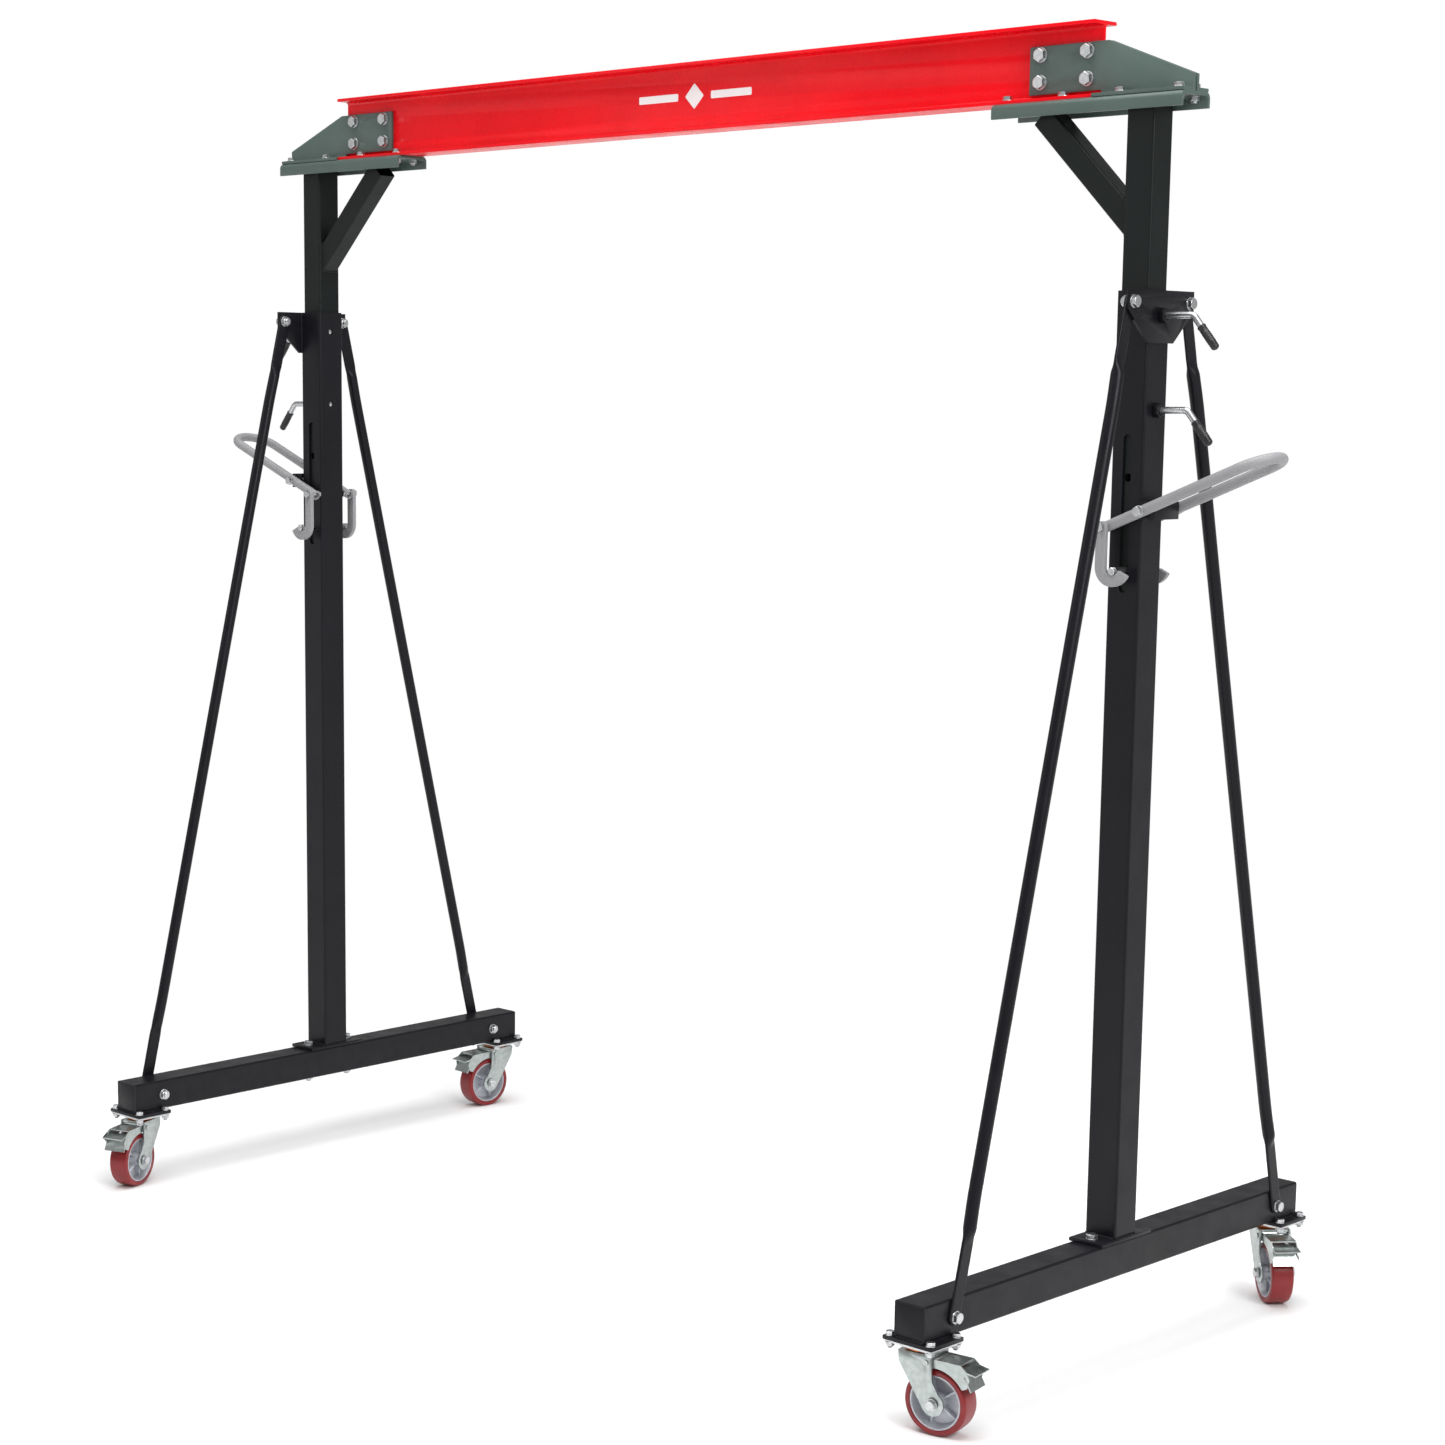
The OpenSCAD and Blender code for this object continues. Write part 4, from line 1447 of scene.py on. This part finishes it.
    def lift_pin(self) -> None:
        """Models the lift pin with eased ends and a turned groove near each."""
        node = f"lift_pin_{self.side.word}"
        low, high = self.shop.corners(node)
        middle = (low + high) / 2
        radius = (high.x - low.x) / 2
        groove = radius * 0.92
        ease = 0.0015
        half = [(0, 0), (radius - ease, 0), (radius, ease), (radius, 0.006), (groove, 0.0066),
                (groove, 0.0076), (radius, 0.0082)]
        piece = spun(node, mirrored(half, (high.y - low.y) / 2), 32)
        piece.data.transform(along(Vector((0, 1, 0)), Vector((middle.x, low.y, middle.z))))
        soften(piece, 30)
        self.shop.detail(piece, node, Finish.ZINC)

    def lock_pin(self, level: str) -> None:
        """Models one bent locking pin and its rubber grip.

        Args:
            level: "high" or "low".
        """
        node = f"lock_pin_{self.side.word}_{level}"
        sign = self.side.value
        low, high = self.shop.corners(node)
        inner, outer = (low.x, high.x) if sign > 0 else (high.x, low.x)
        sine, cosine = math.sin(self.pin_bend), math.cos(self.pin_bend)
        down = Vector((sign * cosine, 0, -sine))
        beyond = sine * (self.bend_r + self.grip_r) + (self.pin_leg + self.grip_len) * cosine
        z = high.z - self.pin_r
        start = Vector((inner, 0, z))
        run = Vector((outer - sign * beyond - inner, 0, 0))
        tip = Vector((sign * self.pin_ease, 0, 0))
        centre = start + run - Vector((0, 0, self.bend_r))
        moves = [("run", run - tip), ("run", tip),
                 ("bend", self.pin_bend, centre, (0, sign, 0), 12),
                 ("run", down * (self.pin_leg + self.grip_len * 0.5))]
        rod = bent_rod(node, self.pin_r, start, moves, 24)
        self.point_tip(rod, inner)
        soften(rod, 40)
        self.shop.detail(rod, node, Finish.ZINC)
        knee = centre + Vector((sign * sine, 0, cosine)) * self.bend_r
        grip = self.grip()
        grip.data.transform(along(down, knee + down * self.pin_leg))
        name = f"pin_grip_{self.side.word}_{level}"
        self.shop.fit(grip, name, Finish.GRIP_RUBBER, self.shop.body_of[node])

    def point_tip(self, rod: Piece, tip_x: float) -> None:
        """Chamfers a rod's first end.

        Args:
            rod: The rod.
            tip_x: Place of that end along X.
        """
        edit(rod)
        bpy.ops.mesh.select_all(action="DESELECT")
        bpy.ops.mesh.select_mode(type="EDGE")
        mesh = bmesh.from_edit_mesh(rod.data)
        for edge in mesh.edges:
            edge.select = all(abs(v.co.x - tip_x) < 1e-5 for v in edge.verts)
        bpy.ops.mesh.bevel(offset=self.pin_ease, segments=2)
        done()

    def grip(self) -> Piece:
        """Models a dipped rubber grip with a rolled mouth and a few ribs.

        Returns:
            The grip, with its mouth at the origin and its closed end up.
        """
        radius, length = self.grip_r, self.grip_len
        slim, rib_r = radius * 0.93, radius * 0.99
        profile = [(0.0, 0.0), (self.pin_r * 1.05, 0.0), (radius * 0.97, 0.0004), (radius, 0.0016),
                   (radius, 0.0030), (slim, 0.0042)]
        first, pitch = length * 0.30, length * 0.085
        for index in range(self.grip_ribs):
            height = first + index * pitch
            profile += [(slim, height), (rib_r, height + pitch * 0.25), (rib_r, height + pitch * 0.5),
                        (slim, height + pitch * 0.75)]
        for angle in (0, 20, 40, 60, 75, 90):
            turn = math.radians(angle)
            profile.append((slim * math.cos(turn), length - radius * 0.7 * (1 - math.sin(turn))))
        grip = spun("grip", profile, 32)
        soften(grip, 45)
        return grip


# ------------------------------------------------------------------ casters


@dataclass
class Caster:
    """One braked swivel caster.

    Attributes:
        shop: The workshop.
        side: Which leg.
        end: Which end of its base beam.
        ribs: Ribs across the rim.
        rib_t: Thickness of a rib.
        rib_sunk: Length of a rib that is inside the hub and the flange.
        eased: Rounding of the edges at the wheel's sides.
        shoulder: Radius of the tyre's shoulders.
        crown: Height of the tread's crown.
        bore: Radius of the hub's bore.
        hub_r: Radius of the hub.
        wall: Thickness of the rim's flange.
        web: Half the thickness of its web.
        draft: Taper of its cast walls.
        fillet: Radius of the corners beside its web.
        nut_flats: Width of an axle nut across its flats.
        nut_h: Height of an axle nut.
        nut_proud: Height of it beyond the axle's end.
        washer_r: Radius of the washer under it.
        washer_t: Thickness of that washer.
    """

    shop: Workshop
    side: Side
    end: End
    ribs: int = 5
    rib_t: float = 0.005
    rib_sunk: float = 0.003
    eased: float = 0.001
    shoulder: float = 0.0055
    crown: float = 0.0004
    bore: float = 0.0061
    hub_r: float = 0.017
    wall: float = 0.006
    web: float = 0.0035
    draft: float = 0.0015
    fillet: float = 0.004
    nut_flats: float = 0.019
    nut_h: float = 0.007
    nut_proud: float = 0.001
    washer_r: float = 0.0125
    washer_t: float = 0.0018

    def __post_init__(self) -> None:
        """Reads the wheel's place from the frame."""
        self.key = f"{self.side.word}_{self.end.word}"
        wheel = self.shop.joints[f"wheel_{self.key}_spin"]
        self.hub = Vector(wheel["pos_m"])
        self.axis = Vector(wheel["axis"]).normalized()

    def build(self) -> None:
        """Models and finishes the fork, wheel and pedal."""
        self.tyre()
        self.rim()
        self.axle_nuts()
        self.shop.swap(f"fork_{self.key}", Finish.FORK_ZINC, 0.0009)
        self.shop.swap(f"pedal_{self.key}", Finish.FORK_ZINC, 0.0006)

    def half_width(self, node: str) -> float:
        """Half a piece's width along the axle."""
        return max(abs((v.co - self.hub).dot(self.axis)) for v in self.shop.nodes[node].data.vertices)

    def radius(self, node: str) -> float:
        """A wheel piece's outer radius."""
        offsets = (v.co - self.hub for v in self.shop.nodes[node].data.vertices)
        return max((offset - self.axis * offset.dot(self.axis)).length for offset in offsets)

    def finish(self, piece: Piece, angle: float) -> None:
        """Lays a wheel piece's Z along the axle and shades it.

        Args:
            piece: The piece, modelled about Z.
            angle: Edges sharper than this many degrees stay sharp.
        """
        piece.data.transform(along(self.axis, self.hub))
        soften(piece, angle)

    def pair(self, piece: Piece) -> list[Piece]:
        """Gives a piece for one side of the wheel and its copy for the other."""
        return [piece, copy_of(piece, Matrix.Rotation(math.pi, 4, "X"))]

    def tyre(self) -> None:
        """Models the tyre with a crowned tread and rounded shoulders."""
        node = f"tyre_{self.key}"
        side, outer = self.half_width(node), self.radius(node)
        inner = self.radius(f"rim_{self.key}") + 0.00005
        half = [(inner, self.eased - side), (inner + self.eased, -side)]
        for angle in range(0, 91, 15):
            turn = math.radians(angle)
            drop = self.crown + self.shoulder * (1 - math.sin(turn))
            half.append((outer - drop, self.shoulder * (1 - math.cos(turn)) - side))
        half.append((outer - self.crown / 2, (self.shoulder - side) * 0.8))
        piece = spun(node, [*half, (outer, 0.0), *mirrored(half)[len(half):]], 96)
        self.finish(piece, 40)
        self.shop.detail(piece, node, Finish.TYRE_RED)

    def rim(self) -> None:
        """Models the cast rim: flange, dished web, ribs, hub and bearing caps."""
        node = f"rim_{self.key}"
        outer = self.radius(node)
        hub_side = self.half_width(node)
        side = self.half_width(f"tyre_{self.key}") - self.eased
        bore, hub_r, web, eased, draft = self.bore, self.hub_r, self.web, self.eased, self.draft
        flange = outer - self.wall
        dish = web + self.fillet
        half = [(bore, -hub_side), (hub_r - eased, -hub_side), (hub_r, eased - hub_side),
                (hub_r + draft, -dish), (hub_r + self.fillet, -web), (flange - self.fillet, -web),
                (flange - draft, -dish), (flange + draft, eased - side), (flange + draft + eased, -side),
                (outer - eased, -side), (outer, eased - side)]
        parts = [spun(node, mirrored(half), 72)]
        for index in range(self.ribs):
            parts.append(self.rib(flange, side - 0.005, index * math.tau / self.ribs))
        parts += self.pair(disc(hub_r * 0.80, bore, hub_side - 0.0008, hub_side, 0.0002))
        piece = join(parts, node)
        self.finish(piece, 40)
        self.shop.detail(piece, node, Finish.RIM_GREY)

    def axle_nuts(self) -> None:
        """Models the bright nut and washer over each end of the axle."""
        top = self.half_width(f"fork_{self.key}") + self.nut_proud
        seat = top - self.nut_h
        nut = join([disc(self.washer_r, 0.0, seat - self.washer_t, seat),
                    hex_block(self.nut_flats, seat, top, False, True)], "nut")
        piece = join(self.pair(nut), "axle_nuts")
        self.finish(piece, 30)
        self.shop.fit(piece, f"axle_nuts_{self.key}", Finish.ZINC, self.shop.body_of[f"fork_{self.key}"])

    def rib(self, outer: float, half: float, turn: float) -> Piece:
        """Models one rib that tapers from the hub to the flange.

        Args:
            outer: Radius where it meets the flange.
            half: Half its height at the hub.
            turn: Its angle round the wheel.

        Returns:
            The rib.
        """
        middle = (self.hub_r + outer) / 2
        rib = block((outer - self.hub_r + self.rib_sunk, self.rib_t, 2 * half))
        rib.data.transform(Matrix.Translation((middle, 0, 0)))
        for vertex in rib.data.vertices:
            if vertex.co.x > middle:
                vertex.co.z *= 0.62
                vertex.co.y *= 0.8
        bevelled(rib, 0.0012, 3)
        rib.data.transform(Matrix.Rotation(turn, 4, "Z"))
        return rib


@dataclass
class CasterSeats:
    """The pads, plates and races that the casters hang from, and the small plain parts.

    Attributes:
        shop: The workshop.
        bore: Radius of a race's hole for the kingpin.
        race_w: Width of a race's upper ring.
    """

    shop: Workshop
    bore: float = 0.0072
    race_w: float = 0.004

    def build(self) -> None:
        """Models and finishes the seats of all four casters, the end caps and the pin bosses."""
        self.shop.swap("caster_pads", Finish.FRAME_BLACK, 0.0012)
        self.shop.swap("caster_plates", Finish.ZINC, 0.0012)
        self.shop.swap("end_caps", Finish.FRAME_BLACK, 0.0006)
        self.shop.swap("pin_bosses", Finish.FRAME_BLACK, 0.0010)
        self.races()
        self.welds()

    def races(self) -> None:
        """Models each swivel race with a rolled lip and a ball gap."""
        rings = []
        for points in solids_of(self.shop.nodes["caster_races"]):
            low, high = span_of(points)
            outer = (high.x - low.x) / 2
            height = high.z - low.z
            inner = outer - self.race_w
            gap = inner - 0.0015
            profile = [(self.bore, 0.0), (inner - 0.003, 0.0), (inner, 0.0012), (inner, height * 0.34),
                       (gap, height * 0.40), (gap, height * 0.47), (outer - 0.001, height * 0.52),
                       (outer, height * 0.60), (outer, height - 0.001), (outer - 0.001, height),
                       (self.bore, height)]
            ring = spun("race", profile, 64)
            ring.data.transform(Matrix.Translation(((low.x + high.x) / 2, (low.y + high.y) / 2, low.z)))
            rings.append(ring)
        piece = join(rings, "caster_races")
        soften(piece, 35)
        self.shop.detail(piece, "caster_races", Finish.RACE_COPPER)

    def welds(self) -> None:
        """Welds each pad to the underside of its base beam."""
        beads = []
        inset = 0.004
        for points in solids_of(self.shop.nodes["caster_pads"]):
            low, high = span_of(points)
            side = Side.RIGHT if low.x > 0 else Side.LEFT
            beam_low, beam_high = self.shop.corners(f"base_beam_{side.word}")
            y0, y1 = max(low.y, beam_low.y), min(high.y, beam_high.y)
            for x in (beam_low.x, beam_high.x):
                beads.append(weld((x, y0 + inset, high.z), (x, y1 - inset, high.z)))
            y = max(y0, y1, key=abs)
            beads.append(weld((beam_low.x + inset, y, high.z), (beam_high.x - inset, y, high.z)))
        self.shop.fit(join(beads, "pad_welds"), "pad_welds", Finish.FRAME_BLACK, "legs")


# ------------------------------------------------------------------ studio


@dataclass
class Studio:
    """The floor, the light and the camera.

    Attributes:
        eye: Where the camera stands.
        yaw: Its turn about Z from looking along +Y, in degrees.
        pitch: Its tilt above the horizon, in degrees.
        roll: Its roll, in degrees.
        lens: Its focal length in millimetres.
        shift: Its lens shift in X and Y.
        sky_light: Strength with which the sky lights the crane.
        floor_near: Distance from the origin up to which the floor takes shadows.
        floor_far: Distance from which the floor is an even white.
    """

    eye: Point = (4.655, -4.943, 1.976)
    yaw: float = 45.149
    pitch: float = -9.062
    roll: float = 0.34
    lens: float = 72.60
    shift: tuple[float, float] = (0.1, 0.1)
    sky_light: float = 0.35
    floor_near: float = 1.9
    floor_far: float = 3.8

    def build(self) -> None:
        """Sets up the camera, floor and lights, with plain display colours."""
        bpy.context.scene.view_settings.view_transform = "Standard"
        self.camera()
        self.floor()
        self.lights()

    def camera(self) -> None:
        """Places the camera."""
        data = bpy.data.cameras.new("camera")
        data.sensor_width = 36.0
        data.lens = self.lens
        data.shift_x, data.shift_y = self.shift
        data.clip_end = 200.0
        camera = bpy.data.objects.new("camera", data)
        bpy.context.scene.collection.objects.link(camera)
        camera.matrix_world = (
            Matrix.Translation(self.eye)
            @ Matrix.Rotation(math.radians(self.yaw), 4, "Z")
            @ Matrix.Rotation(math.radians(90 + self.pitch), 4, "X")
            @ Matrix.Rotation(math.radians(self.roll), 4, "Z")
        )
        bpy.context.scene.camera = camera

    def floor(self) -> None:
        """Lays a wide pale floor that turns into an even white far from the crane."""
        deselect()
        bpy.ops.mesh.primitive_plane_add(size=160.0)
        floor = bpy.context.object
        floor.name = "floor"
        shader = Shader("pale_floor")
        away = shader.node("ShaderNodeVectorMath", operation="LENGTH")
        shader.feed(away.inputs[0], shader.coords)
        reach = (self.floor_near, self.floor_far)
        glow = shader.ranged(away.outputs["Value"], reach, (0.0, 1.0), interpolation_type="SMOOTHSTEP")
        shader.look(
            Base_Color=shader.blend(glow, (0.96, 0.96, 0.96), (0.0, 0.0, 0.0)), Roughness=0.8,
            Specular_IOR_Level=0.0, Emission_Color=(1.0, 1.0, 1.0, 1.0), Emission_Strength=glow)
        floor.data.materials.append(shader.material)

    def lights(self) -> None:
        """Hangs soft lights around the crane under a white sky that lights it gently."""
        world = bpy.data.worlds.new("studio")
        bpy.context.scene.world = world
        world.use_nodes = True
        tree = world.node_tree
        sky = tree.nodes["Background"]
        sky.inputs["Color"].default_value = (1.0, 1.0, 1.0, 1.0)
        seen = tree.nodes.new("ShaderNodeLightPath").outputs["Is Camera Ray"]
        level = tree.nodes.new("ShaderNodeMapRange")
        level.inputs["To Min"].default_value = self.sky_light
        level.inputs["To Max"].default_value = 1.0
        tree.links.new(seen, level.inputs["Value"])
        tree.links.new(level.outputs["Result"], sky.inputs["Strength"])
        self.lamp("top", (0.5, -1.0, 7.5), (0.3, -0.3, 0.0), 7.0, 640.0)
        self.lamp("key", (6.5, -1.5, 4.5), (0.2, 0.0, 1.2), 2.5, 230.0)
        self.lamp("fill", (-4.5, -5.5, 4.0), (0.0, 0.0, 1.4), 3.0, 35.0)

    def lamp(self, name: str, place: Point, target: Point, size: float, power: float) -> None:
        """Hangs one square lamp.

        Args:
            name: Its name.
            place: Where it hangs.
            target: Where it points.
            size: Its width in metres.
            power: Its power in watts.
        """
        data = bpy.data.lights.new(name, "AREA")
        data.energy = power
        data.size = size
        lamp = bpy.data.objects.new(name, data)
        bpy.context.scene.collection.objects.link(lamp)
        towards = Vector(target) - Vector(place)
        turn = towards.to_track_quat("-Z", "Y").to_matrix().to_4x4()
        lamp.matrix_world = Matrix.Translation(place) @ turn


# ------------------------------------------------------------------ main


def main() -> None:
    """Builds the whole scene around the frame."""
    logging.basicConfig(level=logging.INFO, format="%(name)s: %(message)s")
    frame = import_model()
    shop = Workshop(frame)
    Studio().build()
    Head(shop).build()
    for side in Side:
        Leg(shop, side).build()
        LiftGear(shop, side).build()
        for end in End:
            Caster(shop, side, end).build()
    CasterSeats(shop).build()
    Fasteners(shop).build()


if __name__ == "__main__":
    main()
